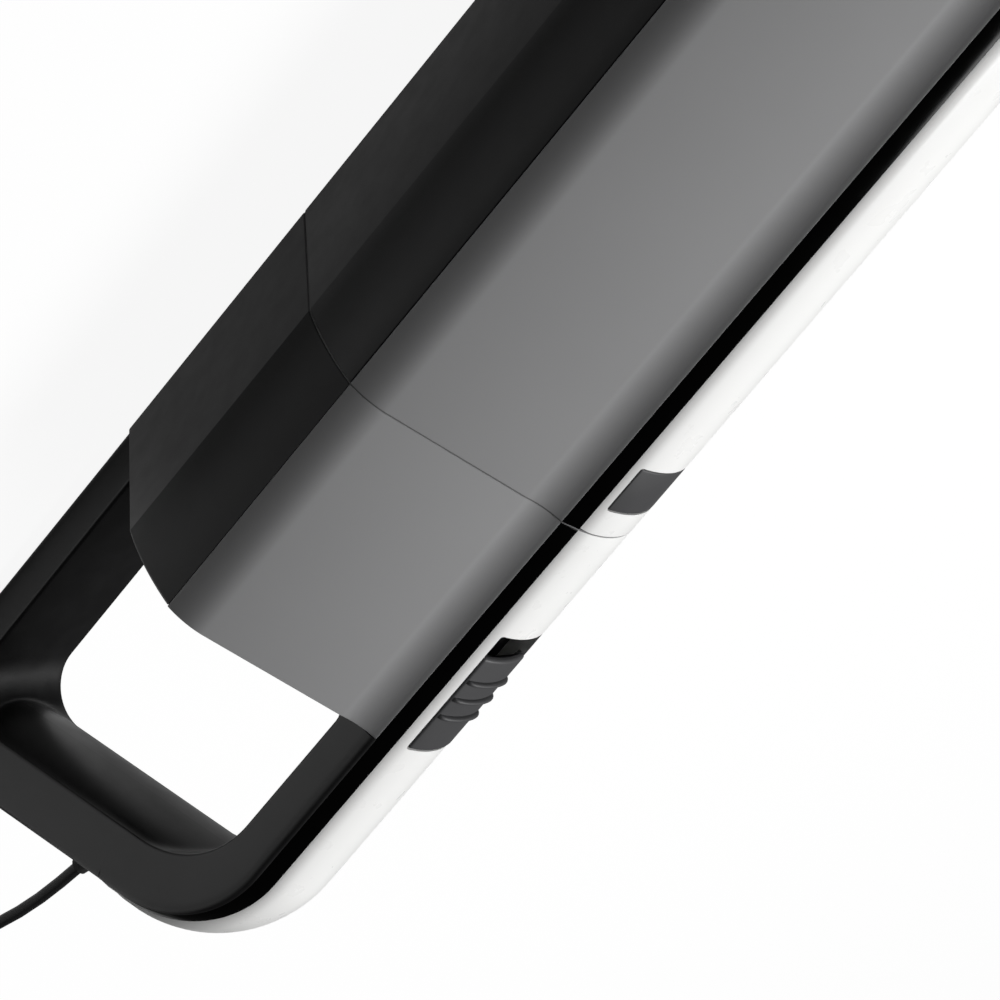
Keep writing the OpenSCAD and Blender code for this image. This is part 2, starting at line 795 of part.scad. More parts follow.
module supply_lead() {
    way = [cos(exit_tilt), 0, sin(exit_tilt)];
    color(rubber) wire([cord_route[0], cord_route[0] + (relief_out + relief_in + 4) * way, lead_bend(43),
        lead_bend(75), [switch_x[0], 0, bar_mid_z]], cord_d / 2, 4, way, [1, 0, 0]);
}

module motor_leads() {
    pin_z = switch_z - 4.5;
    tab_z = axis_z + can_r + 6;
    lead_z = (pin_z + tab_z) / 2;
    color(copper) for (i = [0, 1]) {
        y = [-5.5, 5.5][i];
        x = [-51.6, -45.6][i];
        wire([[x, 0, pin_z], [x, 0, lead_z], [x - 4, y, lead_z], [cap_x[0] + 1.4, y, lead_z],
            [cap_x[0] + 1.4, y, tab_z]], 0.8, 1.4, [0, 0, -1], [0, 0, -1]);
    }
}

module strain_relief() {
    color(rubber) along_exit() difference() {
        union() {
            cylinder(r1 = cord_d / 2 + 0.7, r2 = relief_r - seat_gap, h = relief_out, $fn = 32);
            translate([0, 0, relief_out - 0.1])
                cylinder(r = relief_r - seat_gap, h = relief_neck + 0.2, $fn = 32);
            translate([0, 0, relief_out + relief_neck])
                cylinder(r = relief_flange_r, h = relief_in - relief_neck, $fn = 32);
        }
        translate([0, 0, -1]) cylinder(r = cord_d / 2 + 0.05, h = far, $fn = 32);
    }
}

// Dust cup
lip_t = 2.2;
lip_depth = 4;
pocket_w = 7;
pocket_t = 1.5;
pocket_z = seat_z - 16.5;
spring_z = pocket_z + pocket_t;
button_x1 = button_x + button_l;
button_stem_x = [button_x + 4, button_x + 10];
button_stem_w = 8;
latch_tooth_h = 1.4;

module cup_shell() {
    color(black) difference() {
        union() {
            difference() {
                shell_outside(cup_back, cup_l + 12);
                inner_room(cup_back - 1, far);
            }
            difference() {
                inner_room(cup_back, cup_back + lip_t, -0.5);
                inner_room(cup_back - 1, far, lip_depth);
                latch_way(cup_back - 1, cup_back + lip_t + 1);
            }
            difference() {
                block(button_x, button_x1, -pocket_w, pocket_w, pocket_z, seat_z - wall + 0.5);
                block(button_x - 1, button_x1 + 1, pocket_t - pocket_w, pocket_w - pocket_t, spring_z, far);
            }
        }
        block(button_stem_x[0] - slide_gap, button_stem_x[1] + slide_gap, -button_stem_w / 2 - slide_gap,
            button_stem_w / 2 + slide_gap, seat_z - wall - 1, far);
        ahead_of_front();
    }
}

module cup_panel(side) {
    color(grey) difference() {
        side_panel(side, cup_back, cup_l + 12);
        ahead_of_front();
    }
}

module cup_cover() {
    gap = slide_gap / 2;
    color(white) difference() {
        bar_x(cover_outline, cup_back, cup_l + 12);
        block(button_x - gap, button_x1 + gap, -button_w / 2 - gap, button_w / 2 + gap, seat_z - 1, far);
        ahead_of_front();
    }
}

module cup_trim(side) {
    color(gloss) difference() {
        bar_x(trim_outline(side), cup_back, cup_l + 12);
        ahead_of_front();
    }
}

module release_button() {
    color(black) {
        knob_skin(crown_r - 2, crown_r, button_w, button_x, button_x1);
        block(button_stem_x[0], button_stem_x[1], -button_stem_w / 2, button_stem_w / 2,
            latch_z[0], body_h - 1);
        block(latch_x[0], button_stem_x[1], -latch_w / 2, latch_w / 2, latch_z[0], latch_z[1]);
        block(latch_x[0], latch_x[1], -latch_w / 2, latch_w / 2, latch_z[0], latch_z[1] + latch_tooth_h);
    }
}

// A coil spring about Z, of mean radius r and height h
module coil_spring(r, wire_r, h, turns) {
    steps = 12;
    path = [for (i = [0:turns * steps]) [r * cos(360 * i / steps), r * sin(360 * i / steps),
        wire_r + (h - 2 * wire_r) * i / (turns * steps)]];
    tube(path, wire_r, 6, [0, 1, 0], [0, 1, 0]);
}

module button_spring() {
    x = (button_stem_x[0] + button_stem_x[1]) / 2;
    color(steel) translate([x, 0, spring_z]) coil_spring(2.8, 0.3, latch_z[0] - spring_z, 5);
}

// Nozzle piece on the raked front
lip_x = nozzle_l - 4;

module front_slice(outline, c) {
    intersection() {
        bar_x(outline, 0, nozzle_l);
        translate([cup_l, 0, ridge_z]) rotate([0, rake, 0]) block(c, c + 0.6, -far, far, -far, far);
    }
}

module mouth_slice(x0, x1, c) {
    for (y = [mouth_r - mouth_w / 2, mouth_w / 2 - mouth_r])
        for (z = [mouth_lift + mouth_r, mouth_lift + mouth_h - mouth_r])
            rod_x(mouth_r - c, x0, x1, y, z, 32);
}

module nozzle() {
    color(black) difference() {
        hull() {
            front_slice(section, seat_gap);
            mouth_slice(lip_x, nozzle_l, 0);
        }
        hull() {
            front_slice(inset(section, panel_in + wall), seat_gap - 0.6);
            mouth_slice(lip_x, nozzle_l + 1, wall);
        }
    }
}

// Baffle with its inlet, the flap behind it and the flap's pin
baffle_x = cup_l - baffle_back;
baffle_t = 2.5;
inlet_z = [30, 30 + inlet_h];
duct_t = 1.6;
duct_l = 9.5;
pin_r = 1.2;
barrel_r = 2.4;
flap_gap = 0.3;
flap_lap = 3;
hinge_x = baffle_x - flap_gap - barrel_r;
hinge_z = inlet_z[1] + flap_lap + 2;
flap_t = 1.2;
flap_w = inlet_w + 2;
ear_y = [flap_w / 2 + 1, flap_w / 2 + 3.5];

module inlet_way(x0, x1, grow) {
    block(x0, x1, -inlet_w / 2 - grow, inlet_w / 2 + grow, inlet_z[0] - grow, inlet_z[1] + grow);
}

module baffle() {
    color(black) difference() {
        union() {
            inner_room(baffle_x, baffle_x + baffle_t, seat_gap);
            inlet_way(baffle_x, baffle_x + baffle_t + duct_l, duct_t);
            for (s = [0, 1]) mirror([0, s, 0])
                block(hinge_x - barrel_r, baffle_x + 0.5, ear_y[0], ear_y[1], hinge_z - 3, hinge_z + 3);
        }
        inlet_way(baffle_x - 1, far, 0);
        rod_y(pin_r + 0.02, -far, far, hinge_x, hinge_z);
    }
}

module inlet_flap() {
    color(rubber) difference() {
        union() {
            rod_y(barrel_r, -flap_w / 2, flap_w / 2, hinge_x, hinge_z);
            block(baffle_x - flap_gap - flap_t, baffle_x - flap_gap, -flap_w / 2, flap_w / 2,
                inlet_z[0] - flap_lap, hinge_z);
        }
        rod_y(pin_r + 0.05, -far, far, hinge_x, hinge_z);
    }
}

module flap_pin() {
    color(steel) rod_y(pin_r, -ear_y[1], ear_y[1], hinge_x, hinge_z);
}

// Filter, which slips over the spigot
frame_r = spigot_r + 3;
collar_x = [-0.7, 6];
pleat_x = [collar_x[1] + seat_gap, collar_x[1] + seat_gap + pleat_l];
frame_end = pleat_x[1] + seat_gap + 2.5;
pleat_in = pleat_r - 6.2;
paper = 0.8;

module filter_frame() {
    bars = 6;
    color(white) {
        tube_x(spigot_r + 0.4, frame_r, collar_x[0], collar_x[1]);
        tube_x(pleat_in - 2.2, frame_r, 4.3, collar_x[1]);
        rod_x(frame_r, pleat_x[1] + seat_gap, frame_end);
        for (i = [0:bars - 1]) rotate_about_axis(i * 360 / bars)
            block(5, frame_end - 1, -2, 2, axis_z + pleat_in - 2.2, axis_z + pleat_in - 0.3);
        block(frame_end - 0.5, frame_end + 5.5, -11, 11, axis_z - 1.5, axis_z + 1.5);
    }
}

function star(r_in, r_out, points) =
    [for (i = [0:2 * points - 1])
        let (r = i % 2 == 0 ? r_in : r_out, a = 180 * i / points) r * [cos(a), sin(a)]];

module pleated_filter() {
    color([0.85, 0.86, 0.84]) translate([pleat_x[0], 0, axis_z]) rotate([90, 0, 90])
        linear_extrude(pleat_l) difference() {
            polygon(star(pleat_in + paper, pleat_r, pleats));
            polygon(star(pleat_in, pleat_r - paper, pleats));
        }
}

module filter_seal() {
    color(rubber) tube_x(spigot_r + 0.6, frame_r, bulk_x[1] + 0.3, collar_x[0]);
}

module cord_free() {
    color(rubber) tube(cord_route, cord_d / 2, 8, [-cos(exit_tilt), 0, -sin(exit_tilt)], [-1, 0, 0]);
}

module cord_tail() {
    color(rubber) tube(tail_route, cord_d / 2, 8, [-1, 0, 0], [-1, 0, 0]);
}

// The coil winds inwards and outwards again, layer on layer, and climbs where it turns back
coil_c = [-285, 0];
coil_steps = 24;
coil_pitch = cord_d + coil_gap;
coil_z = 2.35;
coil_turns = coil_loops * coil_layers;

function climbed(s) = s <= 0 ? 0 : s >= 1 ? 1 : s;

function coil_point(s) =
    let (layer = min(floor(s / coil_loops), coil_layers - 1), t = s - layer * coil_loops,
         r = coil_r - coil_pitch * (layer % 2 == 0 ? t : coil_loops - t), a = 90 + 360 * s,
         up = [for (k = [1:coil_layers - 1]) climbed((s - k * coil_loops + 0.25) / 0.5)])
    [coil_c.x + r * cos(a), coil_c.y + r * sin(a), coil_z + coil_pitch * (up * [for (v = up) 1])];

coil_path = concat(
    [[coil_c.x + cord_d, coil_c.y + coil_r, coil_z]],
    [for (i = [0:coil_turns * coil_steps]) coil_point(i / coil_steps)],
    [[coil_c.x - cord_d, coil_c.y + coil_r, coil_z + coil_pitch * (coil_layers - 1)]]);

function path_length(path, i = 0, sum = 0) =
    i >= len(path) - 1 ? sum : path_length(path, i + 1, sum + norm(path[i + 1] - path[i]));

module cord_coil() {
    apart = coil_steps / 2;
    gap = min([for (i = [0:len(coil_path) - 1 - apart]) for (j = [i + apart:len(coil_path) - 1])
        norm(coil_path[i] - coil_path[j])]) - cord_d;
    echo("least gap in the coil", gap);
    echo("length of the cord", path_length(cord_route) + path_length(coil_path) + path_length(tail_route));
    color(rubber) tube(coil_path, cord_d / 2, 6, [-1, 0, 0], [-1, 0, 0]);
}

module coil_tie() {
    tie_t = 0.6;
    tie_w = 8;
    out = coil_c.y - coil_r + coil_pitch / 2 - cord_d / 2 - 0.2;
    in = coil_c.y - coil_r + coil_pitch * (coil_loops - 0.5) + cord_d / 2 + 0.8;
    low = coil_z - cord_d / 2 - 0.13;
    high = coil_z + coil_pitch * (coil_layers - 1) + cord_d / 2 + 0.15;
    color(gloss) difference() {
        block(coil_c.x - tie_w / 2, coil_c.x + tie_w / 2, out - tie_t, in + tie_t, low - tie_t, high + tie_t);
        block(coil_c.x - tie_w, coil_c.x + tie_w, out, in, low, high);
    }
}

// Plug, seen from the cord's end: Z runs along its axis towards the tip
boot_l = 12;
grip_z = [boot_l, 38];
nose_z = [grip_z[1], 62];
ring_z = [nose_z[1], 70];
ring_r = 9;
pin_tip_r = 3.9;
tip_cone = 3;
tip_z = [59, ring_z[1] + tip_travel + tip_cone];
chamber_r = 5;
chamber_z = 20;
fuse_r = 3.15;
fuse_l = 30;
contact_w = 5;
contact_z = [43, 59];
lamp_r = 1.8;
lamp_z = 22;

module along_plug() {
    translate(tail_route[len(tail_route) - 1]) rotate([0, -90, 0]) children();
}

module plug_body() {
    grooves = 5;
    color(black) along_plug() difference() {
        rotate_extrude($fn = round_n) polygon(concat(
            [[0, 0], [cord_d / 2 + 1.6, 0], [7, boot_l - 1.5], [9.5, boot_l], [plug_grip_r, boot_l + 3]],
            [for (i = [0:grooves - 1]) for (q = [[0, 0], [-0.8, 0.6], [-0.8, 1.4], [0, 2]])
                [plug_grip_r + q.x, grip_z[0] + 14 + i * 2 + q.y * 0.9]],
            [[plug_grip_r, grip_z[1] - 1], [plug_grip_r - 1, grip_z[1]], [nose_r, grip_z[1]],
             [nose_r, nose_z[1]], [0, nose_z[1]]]));
        translate([0, 0, chamber_z]) cylinder(r = chamber_r, h = far, $fn = 48);
        for (a = [0, 180]) rotate([0, 0, a])
            translate([-contact_w / 2 - 0.2, chamber_r + 1.5, contact_z[0] - 0.5])
                cube([contact_w + 0.4, far, contact_z[1] - contact_z[0] + 1]);
        translate([plug_grip_r - 2, 0, lamp_z]) rotate([0, 90, 0])
            cylinder(r = lamp_r + seat_gap, h = 5, $fn = 32);
    }
}

module plug_ring() {
    color(gloss) along_plug() difference() {
        translate([0, 0, ring_z[0]]) rotate_extrude($fn = round_n)
            polygon([[0, 0], [ring_r, 0], [ring_r, 5], [ring_r - 2, ring_z[1] - ring_z[0]],
                [0, ring_z[1] - ring_z[0]]]);
        translate([0, 0, ring_z[0] - 1]) cylinder(r = pin_tip_r + 0.1, h = 10, $fn = 48);
    }
}

module plug_contacts() {
    bow = 2.4;
    foot = chamber_r + 1.6;
    color(steel) along_plug() for (a = [0, 180]) rotate([0, 0, a])
        translate([-contact_w / 2, 0, 0]) rotate([90, 0, 90]) linear_extrude(contact_w)
            polygon(concat(
                [[foot, contact_z[0]]],
                [for (i = [0:8]) let (t = i / 8) [nose_r - 0.6 + bow * sin(180 * t),
                    contact_z[0] + t * (contact_z[1] - contact_z[0])]],
                [[foot, contact_z[1]], [foot, contact_z[1] - 1.5]],
                [for (i = [7:-1:1]) let (t = i / 8) [nose_r - 1.4 + bow * sin(180 * t),
                    contact_z[0] + t * (contact_z[1] - contact_z[0])]],
                [[foot, contact_z[0] + 1.5]]));
}

module plug_lamp() {
    color([0.75, 0.1, 0.08]) along_plug() translate([plug_grip_r - 2, 0, lamp_z]) rotate([0, 90, 0])
        cylinder(r = lamp_r, h = 2.3, $fn = 32);
}

module plug_tip() {
    color(steel) along_plug() {
        translate([0, 0, tip_z[0]]) cylinder(r = chamber_r - 0.15, h = ring_z[0] - tip_z[0] - 0.3, $fn = 48);
        translate([0, 0, tip_z[0]]) cylinder(r = pin_tip_r, h = tip_z[1] - tip_z[0] - tip_cone, $fn = 48);
        translate([0, 0, tip_z[1] - tip_cone]) cylinder(r1 = pin_tip_r, r2 = 1.8, h = tip_cone, $fn = 48);
    }
}

module plug_fuse() {
    cap_l = 5;
    color(steel) along_plug() translate([0, 0, tip_z[0] - fuse_l]) {
        cylinder(r = fuse_r - 0.3, h = fuse_l, $fn = 32);
        cylinder(r = fuse_r, h = cap_l, $fn = 32);
        translate([0, 0, fuse_l - cap_l]) cylinder(r = fuse_r, h = cap_l, $fn = 32);
    }
}

module plug_spring() {
    color(steel) along_plug() translate([0, 0, chamber_z])
        coil_spring(2.8, 0.35, tip_z[0] - fuse_l - chamber_z, 5);
}

housing(1);  // housing_left
housing(-1);  // housing_right
color(grey) side_panel(1, -unit_l, unit_front);  // side_panel_left
color(grey) side_panel(-1, -unit_l, unit_front);  // side_panel_right
top_cover();
trim(1);  // trim_left
trim(-1);  // trim_right
exhaust_grille(1);  // exhaust_grille_left
exhaust_grille(-1);  // exhaust_grille_right
cup_panel(1);  // cup_panel_left
cup_panel(-1);  // cup_panel_right
cup_trim(1);  // cup_trim_left
cup_trim(-1);  // cup_trim_right
housing_screws();
bulkhead();
cup_gasket();
fan_shroud();
fan_housing();
motor_can();
motor_magnets();
end_cap();
shaft_bushings();
carbon_brushes();
motor_terminals();
motor_mount();
motor_screws();
impeller();
impeller_nut();
motor_shaft();
armature();
windings();
commutator();
switch_knob();
switch_body();
switch_terminals();
supply_lead();
motor_leads();
strain_relief();
cord_free();
cord_coil();
cord_tail();
coil_tie();
plug_body();
plug_ring();
plug_contacts();
plug_lamp();
plug_fuse();
plug_spring();
plug_tip();
cup_shell();
cup_cover();
release_button();
button_spring();
nozzle();
baffle();
inlet_flap();
flap_pin();
filter_frame();
pleated_filter();
filter_seal();
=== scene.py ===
import json
import math

import bmesh
import bpy
import numpy as np
from mathutils import Matrix, Vector

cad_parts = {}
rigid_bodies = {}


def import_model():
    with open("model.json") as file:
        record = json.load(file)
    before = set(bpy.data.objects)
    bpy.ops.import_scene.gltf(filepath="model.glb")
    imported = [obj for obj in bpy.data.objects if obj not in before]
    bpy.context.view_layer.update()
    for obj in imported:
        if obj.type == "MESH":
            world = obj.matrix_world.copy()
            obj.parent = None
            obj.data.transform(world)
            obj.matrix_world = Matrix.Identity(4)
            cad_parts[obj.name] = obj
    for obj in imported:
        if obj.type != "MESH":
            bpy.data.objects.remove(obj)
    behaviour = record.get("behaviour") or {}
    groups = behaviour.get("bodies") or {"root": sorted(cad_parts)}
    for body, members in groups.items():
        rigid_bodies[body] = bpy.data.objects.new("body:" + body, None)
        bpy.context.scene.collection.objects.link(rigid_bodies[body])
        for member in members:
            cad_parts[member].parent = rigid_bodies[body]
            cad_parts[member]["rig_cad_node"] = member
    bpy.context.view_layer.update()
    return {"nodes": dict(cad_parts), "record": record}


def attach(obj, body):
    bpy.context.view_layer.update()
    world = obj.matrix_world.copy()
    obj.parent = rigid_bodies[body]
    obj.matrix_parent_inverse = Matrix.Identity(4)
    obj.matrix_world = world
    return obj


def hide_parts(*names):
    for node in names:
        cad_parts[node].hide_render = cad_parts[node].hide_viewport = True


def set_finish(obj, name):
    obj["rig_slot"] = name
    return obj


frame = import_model()
nodes = frame["nodes"]
scene = bpy.context.scene
print("frame loaded:", len(nodes), "nodes")

# Shapes are worked out in millimetres, as in the part's source, and scaled when they become meshes
mm = 0.001

camera = {
    "place": (0.65273, 1.30730, 0.65796),
    "right": (0.58485, -0.55919, 0.58759),
    "up": (0.69114, -0.03563, -0.72184),
    "back": (0.42458, 0.82828, 0.36564),
    "lens": 236.0,
    "sensor": 36.0,
    "nearest": 0.05,
}


# The view's right, up and back ways are the columns of the camera's turn
def addCamera(v):
    data = bpy.data.cameras.new("camera")
    data.lens = v["lens"]
    data.sensor_width = v["sensor"]
    data.clip_start = v["nearest"]
    turn = Matrix((v["right"], v["up"], v["back"])).transposed()
    eye = bpy.data.objects.new("camera", data)
    eye.matrix_world = Matrix.Translation(v["place"]) @ turn.to_quaternion().to_matrix().to_4x4()
    scene.collection.objects.link(eye)
    scene.camera = eye


addCamera(camera)


# An object from points in millimetres and faces that isn't a piece of any body yet
def looseObject(name, verts, faces):
    mesh = bpy.data.meshes.new(name)
    mesh.from_pydata((np.asarray(verts, float) * mm).tolist(), [], [list(f) for f in faces])
    piece = bpy.data.objects.new(name, mesh)
    scene.collection.objects.link(piece)
    return piece


# Edges sharper than this many degrees stay sharp
sharpFrom = {"plain": 35, "skin": 40, "knob": 50}


# Smooth shading but for edges sharper than angle; the piece rides on host and stands for the nodes in stands
def settle(piece, host, slot, stands, angle):
    piece.data.shade_smooth()
    piece.data.set_sharp_from_angle(angle=math.radians(angle))
    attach(piece, host)
    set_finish(piece, slot)
    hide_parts(*stands)
    return piece


# A new piece from points in millimetres and faces
def makePiece(name, verts, faces, host, slot, stands, angle):
    piece = looseObject(name, verts, faces)
    piece.data.validate()
    return settle(piece, host, slot, stands, angle)


cord = {
    "diameter": 3.2,
    "length": 4.001,
    "route": [
        (-175.5, 0, 57.5), (-183, 0, 56.3), (-190.5, 0, 54.8), (-198, 0, 52.8), (-205, 0, 50.4),
        (-212, 0.5, 47.3), (-218.5, 1.5, 43.5), (-224, 3, 38.9), (-228.8, 5, 33.6), (-233, 7.5, 27.8),
        (-236.8, 10.5, 21.8), (-240.6, 14, 16), (-244.8, 18, 10.8), (-249.7, 22.3, 6.6), (-255, 28, 4),
        (-260.3, 31.4, 2.6), (-268.5, 34.2, 2.35), (-276.6, 36, 2.35), (-281.8, 36.5, 2.35),
    ],
    "tail": [
        (-288.2, 36.5, 13.45), (-293, 36.5, 13.4), (-300, 36.5, 12.9), (-307, 36.5, 12.15),
        (-312, 36.5, 12.05),
    ],
    "intoPlug": [(-319, 36.5, 12.05), (-326, 36.5, 12.05)],
    "centre": (-285, 0),
    "radius": 36.5,
    "pitch": 3.7,
    "loops": 6,
    "layers": 4,
    "lowest": 2.35,
    "stepsPerTurn": 24,
    "climb": 0.5,
}


# Turn s lies on layer s // loops; its radius shrinks by a pitch a turn, then grows again, and z climbs a
# pitch where the winding turns back
def coilPoints(c):
    s = np.arange(c["loops"] * c["layers"] * c["stepsPerTurn"] + 1) / c["stepsPerTurn"]
    layer = np.minimum(s // c["loops"], c["layers"] - 1)
    t = s - layer * c["loops"]
    r = c["radius"] - c["pitch"] * np.where(layer % 2 == 0, t, c["loops"] - t)
    a = np.radians(90 + 360 * s)
    turns = np.arange(1, c["layers"]) * c["loops"]
    up = np.clip((s[:, None] - turns[None, :]) / c["climb"] + 0.5, 0, 1).sum(1)
    x = c["centre"][0] + r * np.cos(a)
    y = c["centre"][1] + r * np.sin(a)
    return np.stack((x, y, c["lowest"] + c["pitch"] * up), 1)


# A tube along the points; its radius sits on the points, and the curve's own bevel stays at 1
def addCord(c):
    route, tail = np.array(c["route"], float), np.array(c["tail"] + c["intoPlug"], float)
    points = np.concatenate((route, coilPoints(c), tail))
    data = bpy.data.curves.new("cordLead", "CURVE")
    data.dimensions = "3D"
    data.bevel_depth = 1.0
    data.bevel_resolution = 4
    data.use_fill_caps = True
    line = data.splines.new("POLY")
    line.points.add(len(points) - 1)
    line.points.foreach_set("co", np.concatenate((points * mm, np.ones((len(points), 1))), 1).ravel())
    line.points.foreach_set("radius", np.full(len(points), c["diameter"] / 2 * mm))
    line.use_smooth = True
    lead = bpy.data.objects.new("cordLead", data)
    scene.collection.objects.link(lead)
    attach(lead, "motor_unit")
    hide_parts("cord_free", "cord_coil", "cord_tail")
    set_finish(lead, "cord_jacket")
    return lead


lead = addCord(cord)
print("cord laid out:", len(lead.data.splines[0].points), "points")


# Each row divided by its length
def unitRows(a):
    return a / np.maximum(np.linalg.norm(a, axis=-1, keepdims=True), 1e-12)


# The circle through p and q that stands out by sag to the right of the way from p to q
def arcBetween(p, q, sag, steps):
    p, q = np.array(p, float), np.array(q, float)
    chord = np.linalg.norm(q - p)
    along = (q - p) / chord
    out = np.array((along[1], -along[0])) * np.sign(sag)
    r = (chord ** 2 / 4 + sag ** 2) / (2 * abs(sag))
    t = chord * (np.linspace(0, 1, steps + 1) - 0.5)
    return (p + q) / 2 + t[:, None] * along + (np.sqrt(r * r - t * t) - r + abs(sag))[:, None] * out


# The stretch of the circle about c with radius r between two angles in degrees
def arcAbout(c, r, a0, a1, steps):
    a = np.radians(np.linspace(a0, a1, steps + 1))
    return np.stack((c[0] + r * np.cos(a), c[1] + r * np.sin(a)), 1)


# Each corner becomes the circle of its radius that touches both its sides; radius 0 keeps the point
def roundLoop(points, radii, steps=5):
    p = np.array(points, float)
    radii = np.broadcast_to(np.array(radii, float), len(p))
    a, b = unitRows(np.roll(p, 1, 0) - p), unitRows(np.roll(p, -1, 0) - p)
    bend = np.arccos(np.clip((a * b).sum(1), -1, 1)) / 2
    live = (radii > 0) & (bend < 1.55)  # a nearly straight run has no corner to round
    bend = np.where(live, bend, 1.0)
    cut = np.where(live, radii / np.tan(bend), 0)[:, None]
    centre = p + unitRows(a + b) * np.where(live, radii / np.sin(bend), 0)[:, None]
    v0, v1 = p + a * cut - centre, p + b * cut - centre
    phi = (math.pi - 2 * bend)[:, None, None]
    t = np.linspace(0, 1, steps + 1)[None, :, None]
    swung = np.sin((1 - t) * phi) * v0[:, None] + np.sin(t * phi) * v1[:, None]
    loop = (centre[:, None] + swung / np.sin(phi)).reshape(-1, 2)
    keep = np.linalg.norm(loop - np.roll(loop, 1, 0), axis=1) > 1e-5
    return loop[keep]


# Every side of an anticlockwise outline moved inwards by d, corners kept sharp
def offsetLoop(loop, d):
    side = unitRows(np.roll(loop, -1, 0) - loop)
    n2 = np.stack((side[:, 1], -side[:, 0]), 1)
    n1 = np.roll(n2, 1, 0)
    return loop - d * (n1 + n2) / (1 + (n1 * n2).sum(1, keepdims=True))


# Quads between neighbouring closed rings, and a cap on the first and on the last ring
def gridFaces(rings, points, capped=True):
    i, k = np.meshgrid(np.arange(rings - 1), np.arange(points), indexing="ij")
    a, b = i * points + k, i * points + (k + 1) % points
    quads = np.stack((a, b, b + points, a + points), -1).reshape(-1, 4).tolist()
    if capped:
        quads.append(list(range(points))[::-1])
        quads.append(list(range((rings - 1) * points, rings * points)))
    return quads


# Places along a bar and how far its outline is drawn in there, so that both ends are rounded by r0 and r1
def endStations(x0, x1, r0, r1, steps=4):
    a = np.linspace(0, math.pi / 2, steps + 1)
    x = np.concatenate((x0 + r0 * (1 - np.sin(a)), x1 - r1 * (1 - np.sin(a))[::-1]))
    d = np.concatenate((r0 * (1 - np.cos(a)), r1 * (1 - np.cos(a))[::-1]))
    order = np.argsort(x, kind="stable")
    return x[order], d[order]


# An outline in Y and Z drawn along X with rounded ends; the front end leans by lean per millimetre of height
def sweepAlongX(loop, x0, x1, r0=0.35, r1=0.35, lean=0.0, leanAt=104.2):
    x, d = endStations(x0, x1, r0, r1)
    rings = []
    for place, inset in zip(x, d):
        ring = offsetLoop(loop, inset)
        shift = lean * (ring[:, 1] - leanAt) if place > (x0 + x1) / 2 else 0 * ring[:, 1]
        rings.append(np.stack((place + shift, ring[:, 0], ring[:, 1]), 1))
    return np.concatenate(rings), gridFaces(len(rings), len(loop))


# Several meshes as one list of points and one of faces
def joined(parts):
    verts, faces, start = [], [], 0
    for v, f in parts:
        verts.append(v)
        faces.extend([[i + start for i in face] for face in f])
        start += len(v)
    return np.concatenate(verts), faces


# The same shape on the other side of the mid-plane, its faces turned to keep pointing outwards
def mirrored(verts, faces):
    return verts * np.array((1, -1, 1)), [list(f)[::-1] for f in faces]


sides = ("left", "right")


# The shape as drawn for the left side, and mirrored for the right
def sided(shape, side):
    return shape if side == "left" else mirrored(*shape)


# The body's section, shared by all the shells
body = {
    "bottomHalf": 18.0,
    "chine": (48.5, 33.0),
    "belt": (56.0, 57.0),
    "shoulder": (51.5, 67.0),
    "neck": (23.0, 95.5),
    "ridge": (16.5, 104.2),
    "sideBulge": 1.3,
    "shoulderBulge": 0.9,
    "neckHollow": 0.9,
    "crownRadius": 25.5,
    "crownZ": 84.5,
    "coverHalf": 12.0,
    "seatZ": 102.5,
    "wall": 2.4,
    "panel": 2.4,
    "panelGap": 0.1,
    "rearX": -76.0,
    "cupFront": 172.0,
    "seam": 0.2,
    "rake": 18.0,
    "bottomRounds": (1.2, 1.4),
    "rearRound": 0.8,
    "edgeRound": 0.35,
}
rake = math.radians(body["rake"])
coverAngle = math.degrees(math.asin(body["coverHalf"] / body["crownRadius"]))


# From the bottom edge over the chine, the belt and the shoulder to the ridge, then the crown's arc to the
# middle; the lower side and the shoulder bulge as shallow arcs, and the neck is hollow
def halfSection():
    low = arcBetween(body["chine"], body["belt"], body["sideBulge"], 14)
    mid = arcBetween(body["belt"], body["shoulder"], body["shoulderBulge"], 12)[1:]
    top = arcBetween(body["neck"], body["ridge"], -body["neckHollow"], 12)
    crown = arcAbout((0, body["crownZ"]), body["crownRadius"], 90 - coverAngle, 90, 12)
    return np.concatenate(([(body["bottomHalf"], 0)], low, mid, top, crown))


half = halfSection()
section = np.concatenate((half, (half * (-1, 1))[-2::-1]))


# The same half, d further in
def insetHalf(d):
    return offsetLoop(section, d)[: len(half)]


# The stretch of a rising outline between two heights, without points closer than clear to either
def clipZ(points, z0, z1, clear=0.7):
    inside = (points[:, 1] > z0 + clear) & (points[:, 1] < z1 - clear)
    ends = np.interp((z0, z1), points[:, 1], points[:, 0])
    return np.concatenate(([(ends[0], z0)], points[inside], [(ends[1], z1)]))


# Half of a shell's outside: the section up to the belt, then the seat of the side panel and of the top cover
def shellHalf():
    low = clipZ(half, 0.0, body["belt"][1])
    seat = clipZ(insetHalf(body["panel"] + body["panelGap"]), body["belt"][1], body["seatZ"])
    return low, seat


print("section:", len(section), "points")


# Blender's modifiers worked into the mesh
def applyModifiers(piece):
    bpy.context.view_layer.update()
    shown = piece.evaluated_get(bpy.context.evaluated_depsgraph_get())
    mesh = bpy.data.meshes.new_from_object(shown)
    mesh.name = piece.name
    piece.modifiers.clear()
    old = piece.data
    piece.data = mesh
    bpy.data.meshes.remove(old)
    return piece


# One exact boolean after another, each with a closed helper mesh that is removed afterwards
def combine(piece, others, operation="DIFFERENCE"):
    for verts, faces in others:
        helper = looseObject("helper", verts, faces)
        cut = piece.modifiers.new("cut", "BOOLEAN")
        cut.operation = operation
        cut.solver = "EXACT"
        cut.object = helper
        applyModifiers(piece)
        mesh = helper.data
        bpy.data.objects.remove(helper)
        bpy.data.meshes.remove(mesh)
    return piece


